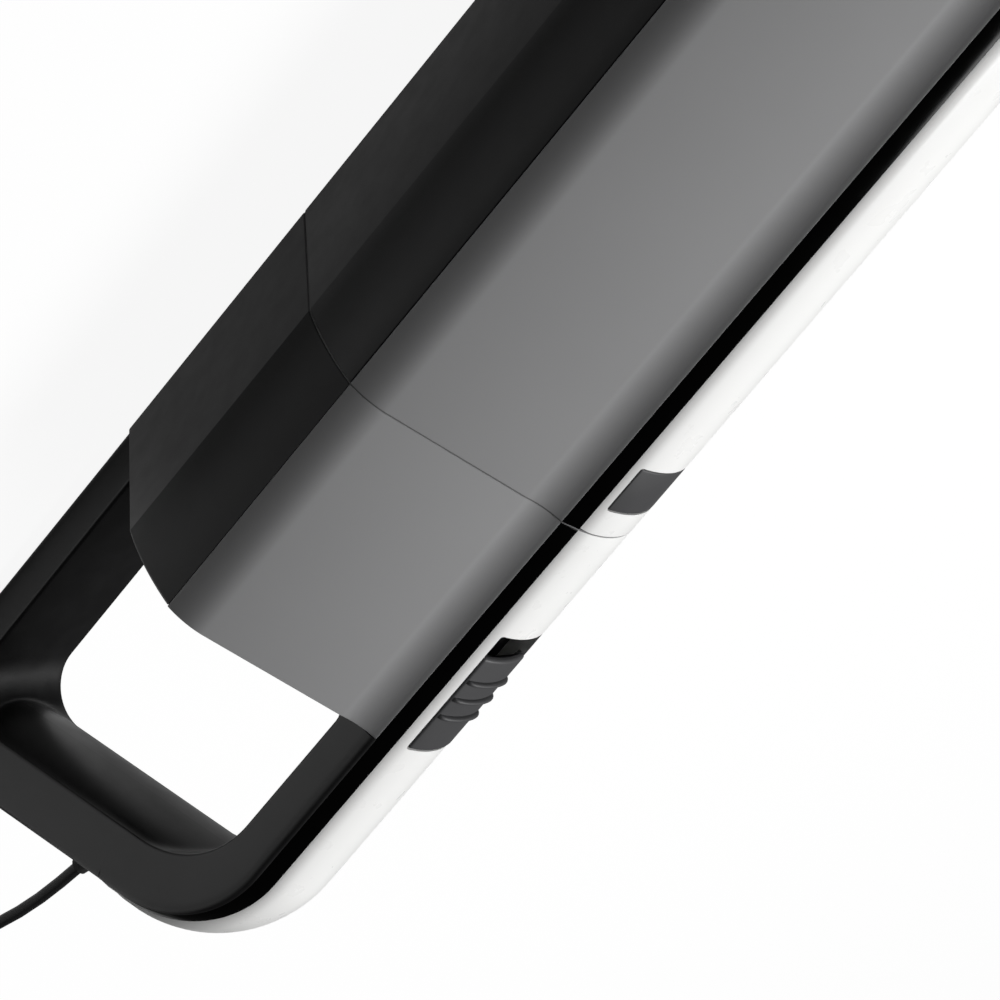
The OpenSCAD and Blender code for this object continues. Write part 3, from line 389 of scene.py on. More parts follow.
# Rounds every edge sharper than angle
def softenEdges(piece, width, angle, segments=2):
    bevel = piece.modifiers.new("bevel", "BEVEL")
    bevel.width = width * mm
    bevel.segments = segments
    bevel.limit_method = "ANGLE"
    bevel.angle_limit = math.radians(angle)
    bevel.harden_normals = False
    bevel.use_clamp_overlap = True
    return applyModifiers(piece)


# A box between two places on each axis
def boxMesh(x0, x1, y0, y1, z0, z1):
    x, y, z = np.meshgrid((x0, x1), (y0, y1), (z0, z1), indexing="ij")
    verts = np.stack((x, y, z), -1).reshape(-1, 3).astype(float)
    return verts, [[0, 1, 3, 2], [4, 6, 7, 5], [0, 4, 5, 1], [2, 3, 7, 6], [0, 2, 6, 4], [1, 5, 7, 3]]


# A profile of radius and distance turned round the line from origin along way
def turnedMesh(profile, origin, way, steps):
    profile = np.array(profile, float)
    way = unitRows(np.array(way, float))
    side = unitRows(np.cross(way, (0.0, 0.0, 1.0) if abs(way[2]) < 0.9 else (1.0, 0.0, 0.0)))
    up = np.cross(way, side)
    a = np.linspace(0, 2 * math.pi, steps, endpoint=False)
    ring = np.cos(a)[:, None] * side + np.sin(a)[:, None] * up
    verts = np.array(origin, float) + profile[:, 1, None, None] * way + profile[:, 0, None, None] * ring
    return verts.reshape(-1, 3), gridFaces(len(profile), steps)


# Motor housing: two halves with the loop handle
handle = {
    "cornerCentre": (-125.84, 68.2),
    "cornerRadius": 36.0,
    "lowCentre": (-158.3, 20.0),
    "lowRadius": 20.0,
    "holeTopCentre": (-118.6, 65.0),
    "holeTopRadius": 28.0,
    "holeLowCentre": (-149.5, 21.6),
    "holeLowRadius": 12.0,
    "holeFront": 5.0,
    "holeBottom": 9.6,
    "holeTop": 93.0,
    "inside": -74.0,
    "crown": 4.5,
    "rimRound": 1.1,
    "outerRound": 2.2,
    "crownFade": 0.6,
    "crownBlend": 0.16,
    "bevelDrop": 3.4,
    "bevelTop": 0.12,
    "bevelSkirt": 0.5,
    "tailLength": 9.0,
    "endSlope": 0.8,
    "step": 0.02,  # two stations this close make a step
    "jointStep": 0.03,
    "wall": 2.4,
    "stations": {"joint": 7, "bar": 14, "low": 20, "rear": 18, "corner": 44},
}


# Matching points, section by section, on the outer edge of the handle and on the edge of its opening
def handlePaths(h):
    turn = 180 - body["rake"]
    front, hole, n = body["rearX"], h["holeFront"], h["stations"]
    ahead = [h["inside"], front + h["jointStep"]]
    joint = np.concatenate((ahead, np.linspace(front, front - hole, n["joint"])))
    top = body["ridge"][1]
    outer = [
        np.stack((joint, 0 * joint), 1),
        np.linspace((front - hole, 0), (h["lowCentre"][0], 0), n["bar"]),
        arcAbout(h["lowCentre"], h["lowRadius"], 270, turn, n["low"]),
        np.linspace(0, 1, n["rear"]),
        arcAbout(h["cornerCentre"], h["cornerRadius"], turn, 90, n["corner"]),
        np.linspace((h["cornerCentre"][0], top), (front - hole, top), n["bar"]),
        np.stack((joint[::-1], 0 * joint + top), 1),
    ]
    outer[3] = outer[2][-1] + (outer[4][0] - outer[2][-1]) * outer[3][:, None]
    lowFillet = arcAbout((front - hole, h["holeBottom"] + hole), hole, 0, -90, n["joint"])
    topFillet = arcAbout((front - hole, h["holeTop"] - hole), hole, 90, 0, n["joint"])
    inner = [
        np.concatenate(([(h["inside"], h["holeBottom"] + hole)], lowFillet)),
        np.linspace((front - hole, h["holeBottom"]), (h["holeLowCentre"][0], h["holeBottom"]), n["bar"]),
        arcAbout(h["holeLowCentre"], h["holeLowRadius"], 270, turn, n["low"]),
        np.linspace(0, 1, n["rear"]),
        arcAbout(h["holeTopCentre"], h["holeTopRadius"], turn, 90, n["corner"]),
        np.linspace((h["holeTopCentre"][0], h["holeTop"]), (front - hole, h["holeTop"]), n["bar"]),
        np.concatenate((topFillet, [(h["inside"], h["holeTop"] - hole)])),
    ]
    inner[3] = inner[2][-1] + (inner[4][0] - inner[2][-1]) * inner[3][:, None]
    part = np.concatenate([np.full(len(p), i) for i, p in enumerate(outer)])
    outer, inner = np.concatenate(outer), np.concatenate(inner)
    moved = np.linalg.norm(np.diff(outer, axis=0), axis=1) + np.linalg.norm(np.diff(inner, axis=0), axis=1)
    keep = np.concatenate(([True], moved > 1e-6))
    return outer[keep], inner[keep], part[keep]


# A band between two outlines: at each station a closed wall section runs over the outer edge, down the side,
# over the edge of the opening, and back inside the hollow. The grip face bulges into the opening as a circle
def handleHalf(h):
    outer, inner, part = handlePaths(h)
    # the seat of the cover ends past the corner, where the way along the rear bar reaches the tail's length
    corner = outer[part == 4][0]
    down = np.linalg.norm(outer - corner, axis=1)
    end = h["tailLength"]
    # two stations at the seat's end, so that it ends in a step
    rear = np.flatnonzero(part == 3)
    cut = rear[np.searchsorted(-down[rear], -end)]
    share = (down[cut - 1] - end) / (down[cut - 1] - down[cut])
    stepOuter = outer[cut - 1] + share * (outer[cut] - outer[cut - 1])
    stepInner = inner[cut - 1] + share * (inner[cut] - inner[cut - 1])
    lean = unitRows(stepOuter - corner)
    outer = np.insert(outer, [cut, cut], [stepOuter + h["step"] * lean, stepOuter], axis=0)
    inner = np.insert(inner, [cut, cut], [stepInner + h["step"] * lean, stepInner], axis=0)
    seat = np.arange(len(outer)) > cut
    out = outer - inner
    w = np.linalg.norm(out, axis=1)
    out = out / w[:, None]
    y = body["bottomHalf"]
    rim, edge = h["rimRound"], h["outerRound"]
    a = np.linspace(0, math.pi / 2, 7)
    # outer edge where nothing lies on it
    plainY = np.concatenate((np.linspace(0, y - edge, 8), y - edge + edge * np.sin(a)))
    plainW = np.concatenate((np.zeros(8), -edge * (1 - np.cos(a))))
    # outer edge under the cover and the trim, with the bevel beside them
    ridge, drop = body["ridge"][0], body["ridge"][1] - body["seatZ"]
    seatY = np.concatenate((np.linspace(0, ridge, 7), ridge + (y - ridge) * np.sin(a), (y,)))
    deep = h["bevelDrop"]
    bevel = -deep + (deep - h["bevelTop"]) * np.cos(a)
    seatW = np.concatenate((np.full(7, -drop), bevel, (-deep - h["bevelSkirt"],)))
    top = np.where(seat[:, None], seatY, plainY), w[:, None] + np.where(seat[:, None], seatW, plainW)
    rimY = np.concatenate((y - rim + rim * np.cos(a), np.linspace(y - rim, 0, 14)[1:]))
    rimW = np.concatenate((rim * (1 - np.sin(a)), np.zeros(13)))
    rimY, rimW = np.broadcast_to(rimY, (len(w), len(rimY))), np.broadcast_to(rimW, (len(w), len(rimW)))
    t = h["wall"]
    hollowY = np.broadcast_to((0, y - t, y - t, 0), (len(w), 4))
    hollowW = np.stack((0 * w + t, 0 * w + t, w - t - drop, w - t - drop), 1)
    allY = np.concatenate((top[0], rimY, hollowY), 1)
    allW = np.concatenate((top[1], rimW, hollowW), 1)
    x = inner[:, 0, None] + out[:, 0, None] * allW
    z = inner[:, 1, None] + out[:, 1, None] * allW
    # the crown of the grip face, at right angles to the rear bar: where it stands out past the opening's
    # edge, the gap is added, rounded as a hyperbola where it starts
    into = np.array((math.cos(rake), -math.sin(rake)))
    away = (inner - inner[np.argmin(inner @ into)]) @ into
    flat = y - rim
    r = (flat ** 2 + h["crown"] ** 2) / (2 * h["crown"])
    rise = np.sqrt(np.maximum(r * r - rimY ** 2, 0)) - math.sqrt(r * r - flat ** 2)
    rise = np.where(rimY <= flat + 1e-9, rise, 0)
    gap = rise - away[:, None]
    blend = 0.5 * (gap + np.sqrt(gap ** 2 + h["crownBlend"])) * np.clip(rise / h["crownFade"], 0, 1)
    n = top[0].shape[1]
    x[:, n:n + rimY.shape[1]] += into[0] * blend
    z[:, n:n + rimY.shape[1]] += into[1] * blend
    # ahead of the body's rear end the band stays under the panels
    under = (x > body["rearX"] + h["step"]) & (z > h["holeTop"])
    allY = np.where(under, np.minimum(allY, body["ridge"][0] - body["panel"]), allY)
    verts = np.stack((x, allY, z), -1)
    return verts.reshape(-1, 3), [face[::-1] for face in gridFaces(len(w), allY.shape[1])]


# Half of the body as a closed bar: the shell's outline, closed along the mid-plane
def housingOutside():
    low, seat = shellHalf()
    loop = np.concatenate(([(0, 0)], low, seat, [(0, body["seatZ"])]))
    radii = np.zeros(len(loop))
    radii[[1, 2]] = body["bottomRounds"]
    return roundLoop(loop, radii)


# The hollow inside the shells: wide below the belt, narrower above it
def roomLoop():
    w, b = body["wall"], body
    low = clipZ(insetHalf(w), w, b["belt"][1] - w)
    top = clipZ(insetHalf(b["panel"] + b["panelGap"] + w), b["belt"][1] - w, b["seatZ"] - w)
    return np.concatenate(([(0, w)], low, top, [(0, b["seatZ"] - w)]))


vent = {"x": (-1.0, 3.5), "y": (23.0, 43.0), "z": (31.0, 68.0)}  # x from the body's rear face
slideSlot = {"x": (-58.35, -46.65), "y": (-3.35, 3.35), "z": (99.1, 104.0)}
relief = {
    "exit": (-175.5, 0.0, 57.5),
    "tilt": 10.0,
    "way": [(3.4, 5.0), (3.4, 13.5), (4.9, 13.5), (4.9, 21.6)],
}
screws = {
    "headRadius": 3.0,
    "headY": -12.0,
    "depth": 40.0,
    "places": [(-164.5, 40.0), (-163.0, 9.6), (-100.0, 4.8), (-33.0, 90.0), (-60.0, 12.0)],
}
room = {"front": 5.0, "edge": 0.01, "pastMiddle": -1.0}
boreSides = 32


# The body's bar and the handle's band made one, then the room inside, the vent, the switch's slot, the bore
# of the strain relief and, on the right, the screw holes are cut out
def addHousing(side):
    rounds = body["rearRound"], body["edgeRound"]
    outside = sweepAlongX(housingOutside(), body["rearX"], -body["seam"], *rounds)
    piece = looseObject("housing" + side.title(), *sided(outside, side))
    combine(piece, [sided(handleHalf(handle), side)], "UNION")
    hollow = roomLoop()
    hollow[:, 0][hollow[:, 0] < 1e-6] = room["pastMiddle"]  # open toward the other half
    inside = sweepAlongX(hollow, body["rearX"] + body["wall"], room["front"], room["edge"], room["edge"])
    across = vent["y"] if side == "left" else (-vent["y"][1], -vent["y"][0])
    window = boxMesh(body["rearX"] + vent["x"][0], body["rearX"] + vent["x"][1], *across, *vent["z"])
    combine(piece, [sided(inside, side), window, boxMesh(*slideSlot["x"], *slideSlot["y"], *slideSlot["z"])])
    tilt = math.radians(relief["tilt"])
    way = (math.cos(tilt), 0, math.sin(tilt))
    combine(piece, [turnedMesh(relief["way"], relief["exit"], way, boreSides)])
    if side == "right":
        hole = [(screws["headRadius"], 0), (screws["headRadius"], screws["depth"])]
        for x, z in screws["places"]:
            combine(piece, [turnedMesh(hole, (x, screws["headY"], z), (0, -1, 0), boreSides)])
    settle(piece, "motor_unit", "black_plastic", ["housing_" + side], sharpFrom["plain"])
    print("housing", side, len(piece.data.polygons), "faces")


for side in sides:
    addHousing(side)


# The outer skin from the belt to the trim, its thickness back inside, corners lightly rounded
def panelLoop():
    skin = clipZ(half, body["belt"][1], body["ridge"][1])
    back = clipZ(insetHalf(body["panel"]), body["belt"][1], body["seatZ"])
    loop = np.concatenate((skin, [(body["ridge"][0], body["seatZ"])], back[::-1]))
    radii = np.zeros(len(loop))
    radii[0] = panelRounds["belt"]
    radii[len(skin) - 1] = panelRounds["trim"]
    return roundLoop(loop, radii)


frontLean = math.tan(rake)
panels = {
    "unit": {"x": (body["rearX"], -body["seam"]), "rounds": (0.2, 0.15), "lean": 0.0, "node": "side_panel_"},
    "cup": {"x": (body["seam"], body["cupFront"]), "rounds": (0.15, 0.35), "lean": frontLean,
            "node": "cup_panel_"},
}
panelRounds = {"belt": 0.35, "trim": 0.06}


# The panel's outline drawn from one end of its shell to the other; the cup's front end leans with the nozzle
def addPanel(name, v, side, host):
    shape = sided(sweepAlongX(panelLoop(), *v["x"], *v["rounds"], v["lean"]), side)
    makePiece(name, *shape, host, "grey_plastic", [v["node"] + side], sharpFrom["skin"])


for side in sides:
    addPanel("sidePanel" + side.title(), panels["unit"], side, "motor_unit")
    addPanel("cupPanel" + side.title(), panels["cup"], side, "dust_cup")
print("side panels")

cover = {
    "thick": 2.4,
    "shoulderFrom": 8.3,
    "shoulderSlope": 62.0,
    "window": (-75.35, -35.5, 9.05),
    "buttonWindow": (7.825, 22.175, 9.875),
    "windowZ": (101.4, 120.0),
    "windowRound": 0.8,
    "edgeRound": 0.12,
    "seamRound": 0.15,
    "frontRound": 0.35,
    "widerBy": 2.4,
    "run": (6.0, 4.0),  # from the front end to the first station, and from the last one to the corner
    "tailStart": 0.8,
}
trim = {"outerRound": 0.5, "innerRound": 0.25, "frontRound": 0.3}


# The crown's arc, then on both sides a tighter arc that turns down to the shoulder's slope at the cover's
# edge: its radius is the width left over, divided by the difference of the two slopes' sines
def coverLoop():
    b, t, y0 = body, cover["thick"], cover["shoulderFrom"]
    bend, slope = math.degrees(math.asin(y0 / b["crownRadius"])), cover["shoulderSlope"]
    start, end = math.radians(bend), math.radians(slope)
    r = (b["coverHalf"] - y0) / (math.sin(end) - math.sin(start))
    centre = (b["crownRadius"] - r) * np.array((math.sin(start), math.cos(start)))
    shoulder = arcAbout(centre + (0, b["crownZ"]), r, 90 - slope, 90 - bend, 10)
    crown = arcAbout((0, b["crownZ"]), b["crownRadius"], 90 - bend, 90 + bend, 28)
    inAngle = math.degrees(math.asin((b["coverHalf"] - t) / (b["crownRadius"] - t)))
    inner = arcAbout((0, b["crownZ"]), b["crownRadius"] - t, 90 + inAngle, 90 - inAngle, 20)
    y, z = b["coverHalf"], b["seatZ"]
    outer = np.concatenate((shoulder, crown[1:-1], (shoulder * (-1, 1))[::-1]))
    loop = np.concatenate((outer, [(-y, z), (t - y, z)], inner, [(y - t, z), (y, z)]))
    radii = np.zeros(len(loop))
    radii[[0, len(outer) - 1]] = cover["edgeRound"]
    return roundLoop(loop, radii, 3)


# Four corners: the seat, the ridge outside and the cover's edge inside, which lies on the crown's circle
def trimLoop():
    edgeZ = body["crownZ"] + body["crownRadius"] * math.cos(math.radians(coverAngle))
    y, w = body["coverHalf"], body["ridge"][0]
    corners = [(y, body["seatZ"]), (w, body["seatZ"]), (w, body["ridge"][1]), (y, edgeZ)]
    return roundLoop(corners, [0, 0, trim["outerRound"], trim["innerRound"]], 5)


# Round the corner the cover's edge moves out by widerBy along the trim's slope, and the trim gets as much
# narrower: the move is largest where both meet and fades to nothing at the start of the shoulder and at the
# trim's outer edge
def spreadShoulder(ring, share):
    edge, out, start = body["coverHalf"], body["ridge"][0], cover["shoulderFrom"]
    rise = body["crownZ"] + body["crownRadius"] * math.cos(math.radians(coverAngle)) - body["ridge"][1]
    y = np.abs(ring[:, 0])
    near = np.clip(np.where(y <= edge + 0.01, (y - start) / (edge - start), (out - y) / (out - edge)), 0, 1)
    move = cover["widerBy"] * near * (3 - 2 * share) * share ** 2
    high = ring[:, 1] > body["seatZ"] + 0.5  # the seat itself stays level
    drop = np.where(high, move * rise / (out - edge), 0)
    return np.stack((ring[:, 0] + np.sign(ring[:, 0]) * move, ring[:, 1] - drop), 1)


# An outline carried back along X, round the handle's corner and down the rear bar, where it ends in a slope:
# a point at height z ends endSlope millimetres earlier for each millimetre above the seat
def sweepAlongRidge(loop, front, roundFront, roundTail=0.6):
    h = handle
    cx, cz = h["cornerCentre"]
    a = np.linspace(0, math.pi / 2, 5)
    turn = math.radians(90 - body["rake"])
    run = np.linspace(front - cover["run"][0], cx + cover["run"][1], 8)
    straight = np.concatenate((front - roundFront * (1 - np.sin(a))[::-1], run))
    insets = np.concatenate((roundFront * (1 - np.cos(a))[::-1], 0 * run))
    stations = [(x, 0.0, 0.0, 0.0, d) for x, d in zip(straight, insets)]
    stations += [(cx, angle, 0.0, 0.0, 0.0) for angle in np.linspace(0, turn, 30)]
    stations += [(cx, turn, cover["tailStart"], 0.5 * h["endSlope"], 0.0)]
    for v in a:
        tail = h["tailLength"] - roundTail * (1 - math.sin(v))
        stations.append((cx, turn, tail, h["endSlope"], roundTail * (1 - math.cos(v))))
    rings = []
    for x, angle, tail, slope, inset in stations:
        ring = spreadShoulder(offsetLoop(loop, inset), angle / turn)
        r = ring[:, 1] - cz
        t = tail - slope * (ring[:, 1] - body["seatZ"])
        back = x - r * math.sin(angle) - t * math.cos(angle)
        up = cz + r * math.cos(angle) - t * math.sin(angle)
        rings.append(np.stack((back, ring[:, 0], up), 1))
    return np.concatenate(rings), [f[::-1] for f in gridFaces(len(rings), len(loop))]


# The cover with an opening of rounded corners cut down through it
def windowed(name, shape, window):
    x0, x1, y = window
    piece = looseObject(name, *shape)
    loop = roundLoop([(x0, -y), (x1, -y), (x1, y), (x0, y)], cover["windowRound"], 5)
    rings = [np.concatenate((loop, np.full((len(loop), 1), z)), 1) for z in cover["windowZ"]]
    return combine(piece, [(np.concatenate(rings), gridFaces(2, len(loop)))])


seam, cupFront, seamRound = body["seam"], body["cupFront"], cover["seamRound"]
topCover = windowed("topCover", sweepAlongRidge(coverLoop(), -seam, seamRound), cover["window"])
settle(topCover, "motor_unit", "white_plastic", ["top_cover"], sharpFrom["skin"])
cupBar = sweepAlongX(coverLoop(), seam, cupFront, seamRound, cover["frontRound"], frontLean)
cupCover = windowed("cupCover", cupBar, cover["buttonWindow"])
settle(cupCover, "dust_cup", "white_plastic", ["cup_cover"], sharpFrom["skin"])
for side in sides:
    strip = sided(sweepAlongRidge(trimLoop(), -seam, seamRound), side)
    name, node = "trim" + side.title(), "trim_" + side
    makePiece(name, *strip, "motor_unit", "trim_gloss", [node], sharpFrom["skin"])
    strip = sided(sweepAlongX(trimLoop(), seam, cupFront, seamRound, trim["frontRound"], frontLean), side)
    name, node = "cupTrim" + side.title(), "cup_trim_" + side
    makePiece(name, *strip, "dust_cup", "trim_gloss", [node], sharpFrom["skin"])
print("covers and trims")

# Slide knob and release button: skins that follow the crown
knob = {
    "x": (-75.0, -43.0),
    "halfWidth": 8.7,
    "radii": (23.5, 25.8),
    "round": 0.9,
    "ribs": (-51.0, -57.0, -63.0),
    "ribThick": 1.3,
    "ribHeight": 1.5,
    "ribBack": 0.7,
    "ribRoot": 1.2,
    "ribHalf": 8.2,
    "stem": (-58, -54, -3, 3, 96.5, 108.5),
}
button = {
    "x": (8.0, 22.0),
    "halfWidth": 9.7,
    "radii": (23.5, 25.5),
    "round": 0.6,
    "stem": (12, 18, -4, 4, 94.9, 108.8),
    "latch": (-9, 18, -3.5, 3.5, 94.9, 96.6),
    "tooth": (-9, -6.5, -3.5, 3.5, 94.9, 98.0),
}


# A plate between two radii about the crown's axis, with upright flanks: each outer corner is a quarter
# circle, so the arc starts a little more than its radius inside the flank. It is drawn along X with rounded
# ends
def crownSkin(v):
    r0, r1 = v["radii"]
    edge, clear = v["halfWidth"], 0.5
    arcs = []
    for r, inside in ((r1, v["round"] + clear), (r0, 0.0)):
        reach = math.degrees(math.asin((edge - inside) / r))
        arcs.append(arcAbout((0, body["crownZ"]), r, 90 - reach, 90 + reach, 24))
    shoulder = body["crownZ"] + math.sqrt(r1 ** 2 - edge ** 2)
    loop = np.concatenate(([(edge, shoulder)], arcs[0], [(-edge, shoulder)], arcs[1][::-1]))
    radii = np.zeros(len(loop))
    radii[[0, len(arcs[0]) + 1]] = v["round"]
    return sweepAlongX(roundLoop(loop, radii, 5), *v["x"], v["round"], v["round"])


# A rib with a rounded back: its section is a half ellipse on straight flanks, carried across the crown, and
# it sinks to the skin at both ends as the root of 1 less the eighth power of the way out
def ribAcross(x, v):
    t, h, reach = v["ribThick"] / 2, v["ribHeight"], v["ribHalf"]
    back, root = v["ribBack"], v["ribRoot"]
    a = np.linspace(0, math.pi, 11)
    across = np.concatenate(([t], t * np.cos(a), [-t]))
    up = np.concatenate(([-root], h - back + back * np.sin(a), [-root]))
    y = reach * np.sin(np.linspace(-math.pi / 2, math.pi / 2, 25))
    tip = np.sqrt(np.maximum(1 - (np.abs(y) / reach) ** 8, 0.0))[:, None]
    r = body["crownRadius"] + np.where(up > 0, up * tip, up)
    th = np.arcsin(np.clip(y / body["crownRadius"], -1, 1))[:, None]
    verts = np.stack((x + across + 0 * r, r * np.sin(th), body["crownZ"] + r * np.cos(th)), -1)
    return verts.reshape(-1, 3), gridFaces(len(y), len(across))


knobParts = [crownSkin(knob), boxMesh(*knob["stem"])] + [ribAcross(x, knob) for x in knob["ribs"]]
makePiece("slideKnob", *joined(knobParts), "knob", "switch_plastic", ["switch_knob"], sharpFrom["knob"])
buttonParts = [crownSkin(button)] + [boxMesh(*button[part]) for part in ("stem", "latch", "tooth")]
makePiece("releaseButton", *joined(buttonParts), "button", "switch_plastic", ["release_button"],
          sharpFrom["knob"])
print("knob and button")


# Pieces whose CAD shape is right keep it, with soft edges and smooth rounds
slotOf = {s["node"]: s["material_slot"] for s in frame["record"]["subparts"]}
bodyOf = {n: b for b, members in frame["record"]["behaviour"]["bodies"].items() for n in members}
merge = {"distance": 2e-6, "flat": 0.4}


# A copy of the CAD node's mesh, its double points and flat edges merged, its sharp edges rounded by width
def keptShape(node, width):
    mesh = nodes[node].data.copy()
    build = bmesh.new()
    build.from_mesh(mesh)
    bmesh.ops.remove_doubles(build, verts=build.verts, dist=merge["distance"])
    flat = math.radians(merge["flat"])
    bmesh.ops.dissolve_limit(build, angle_limit=flat, verts=build.verts, edges=build.edges)
    build.to_mesh(mesh)
    build.free()
    words = node.split("_")
    piece = bpy.data.objects.new(words[0] + "".join(w.title() for w in words[1:]) + "Smooth", mesh)
    scene.collection.objects.link(piece)
    if width:
        softenEdges(piece, width, sharpFrom["plain"])
    return settle(piece, bodyOf[node], slotOf[node], [node], sharpFrom["plain"])


# Each node whose CAD shape stays, and the width of its rounded edges
kept = {
    "cup_shell": 0.35, "nozzle": 0.6, "exhaust_grille_left": 0.25, "exhaust_grille_right": 0.25,
    "housing_screws": 0.2, "bulkhead": 0.25, "cup_gasket": 0.3, "baffle": 0.25, "filter_frame": 0.3,
    "pleated_filter": 0.0, "filter_seal": 0.2, "inlet_flap": 0.2, "flap_pin": 0.15, "fan_shroud": 0.2,
    "fan_housing": 0.3, "motor_can": 0.4, "motor_magnets": 0.2, "end_cap": 0.3, "shaft_bushings": 0.1,
    "carbon_brushes": 0.15, "motor_terminals": 0.1, "motor_mount": 0.3, "motor_screws": 0.15,
    "impeller": 0.15, "impeller_nut": 0.15, "motor_shaft": 0.1, "armature": 0.15, "windings": 0.6,
    "commutator": 0.1, "switch_body": 0.3, "switch_terminals": 0.1, "supply_lead": 0.0,
    "motor_leads": 0.0, "coil_tie": 0.15, "plug_ring": 0.3, "plug_contacts": 0.1, "plug_lamp": 0.3,
    "plug_fuse": 0.2, "plug_spring": 0.0, "plug_tip": 0.2, "button_spring": 0.0, "strain_relief": 0.0,
    "plug_body": 0.25,
}
pieces = {node: keptShape(node, width) for node, width in kept.items()}

lip = {"x": (-0.19, 0.19), "below": 0.22, "deep": 2.6}


# A thin band that fills the parting line: the body's section a little below the surface, and again deeper
# inside, each at both ends of x
def lipMesh(v):
    outer, inner = offsetLoop(section, v["below"]), offsetLoop(section, v["deep"])
    n, (x0, x1) = len(section), v["x"]
    corners = ((outer, x0), (outer, x1), (inner, x1), (inner, x0))
    rings = [np.concatenate((np.full((n, 1), x), edge), 1) for edge, x in corners]
    quads = gridFaces(5, n, False)  # the fifth ring is the first again
    return np.concatenate(rings), [[i % (4 * n) for i in face] for face in quads]


gasketLip = makePiece("cupGasketLip", *lipMesh(lip), "motor_unit", "soft_rubber", ["cup_gasket"],
                      sharpFrom["skin"])
print("kept shapes:", len(pieces))


def link(tree, source, target):
    tree.links.new(source, target)


# A material with its node tree, its shader and the node that gives each point's place on the piece
def newMaterial(name):
    material = bpy.data.materials.new(name)
    material.use_nodes = True
    tree = material.node_tree
    shader = tree.nodes["Principled BSDF"]
    place = tree.nodes.new("ShaderNodeTexCoord")
    return material, tree, shader, place


# A noise with scale waves a metre, stretched along the axes if need be
def noise(tree, place, scale, detail=2.0, stretch=None):
    texture = tree.nodes.new("ShaderNodeTexNoise")
    texture.inputs["Scale"].default_value = scale
    texture.inputs["Detail"].default_value = detail
    source = place.outputs["Object"]
    if stretch:
        mapping = tree.nodes.new("ShaderNodeMapping")
        mapping.inputs["Scale"].default_value = stretch
        link(tree, source, mapping.inputs["Vector"])
        source = mapping.outputs["Vector"]
    link(tree, source, texture.inputs["Vector"])
    return texture.outputs["Fac"]


# The value's stretch from in0 to in1 becomes the stretch from low to high
def mapped(tree, value, in0, in1, low=0.0, high=1.0):
    ramp = tree.nodes.new("ShaderNodeMapRange")
    for name, number in zip(("From Min", "From Max", "To Min", "To Max"), (in0, in1, low, high)):
        ramp.inputs[name].default_value = number
    link(tree, value, ramp.inputs["Value"])
    return ramp.outputs["Result"]


# Arithmetic on a socket, with a second socket or a number
def maths(tree, operation, first, second=None):
    node = tree.nodes.new("ShaderNodeMath")
    node.operation = operation
    link(tree, first, node.inputs[0])
    if isinstance(second, float):
        node.inputs[1].default_value = second
    elif second is not None:
        link(tree, second, node.inputs[1])
    return node.outputs[0]


# From colour to other as the value goes from 0 to 1
def tinted(tree, value, colour, other):
    mix = tree.nodes.new("ShaderNodeMix")
    mix.data_type = "RGBA"
    mix.inputs["A"].default_value = (*colour, 1)
    mix.inputs["B"].default_value = (*other, 1)
    link(tree, value, mix.inputs["Factor"])
    return mix.outputs["Result"]


# Fine bumps, depth metres high at full strength
def grain(tree, shader, value, strength, depth):
    bump = tree.nodes.new("ShaderNodeBump")
    bump.inputs["Strength"].default_value = strength
    bump.inputs["Distance"].default_value = depth
    link(tree, value, bump.inputs["Height"])
    link(tree, bump.outputs["Normal"], shader.inputs["Normal"])


# Painted shade on the body's upright facet: the stretch where its reflections are dimmed, and the tint that
# dims them
shadedFacet = {"low": 33.1, "high": 57.0, "side": 30.0, "rear": -75.2, "tint": 0.25}


# 1 on the upright facet of the body, where its reflections get painted shade: the product of four steps, on
# its height, its distance from the mid-plane and its place ahead of the rear end
def paintedShadeMask(tree, place):
    split = tree.nodes.new("ShaderNodeSeparateXYZ")
    link(tree, place.outputs["Object"], split.inputs[0])
    x, y, z = split.outputs
    tests = [
        ("GREATER_THAN", z, "low"),
        ("LESS_THAN", z, "high"),
        ("GREATER_THAN", maths(tree, "ABSOLUTE", y), "side"),
        ("GREATER_THAN", x, "rear"),
    ]
    steps = [maths(tree, test, source, shadedFacet[limit] * mm) for test, source, limit in tests]
    inside = steps[0]
    for step in steps[1:]:
        inside = maths(tree, "MULTIPLY", inside, step)
    return inside


# How the noises run: waves a metre and detail, and the stretch where most of a noise lies
wander = {"colour": (45.0, 3.0), "roughness": (140.0, 4.0), "usual": (0.3, 0.7)}


# Colour and roughness drift slowly over the piece; a fine noise of grainSize millimetres is its grain
def finish(name, colour, roughness=(0.4, 0.5), grainSize=0.4, grainDepth=0.02, grainStrength=0.25, vary=0.12,
           metallic=0.0, specular=0.5, stretch=None, transmission=0.0, sheen=0.0):
    material, tree, shader, place = newMaterial(name)
    slow = noise(tree, place, *wander["colour"], stretch)
    darker = tuple(c * (1 - vary) for c in colour)
    lighter = tuple(min(1.0, c * (1 + vary)) for c in colour)
    link(tree, tinted(tree, slow, darker, lighter), shader.inputs["Base Color"])
    rough = noise(tree, place, *wander["roughness"], stretch)
    link(tree, mapped(tree, rough, *wander["usual"], *roughness), shader.inputs["Roughness"])
    fine = noise(tree, place, 1 / (grainSize * mm), stretch=stretch)
    grain(tree, shader, fine, grainStrength, grainDepth * mm)
    shader.inputs["Metallic"].default_value = metallic
    shader.inputs["Specular IOR Level"].default_value = specular
    shader.inputs["Transmission Weight"].default_value = transmission
    shader.inputs["Sheen Weight"].default_value = sheen
    return material


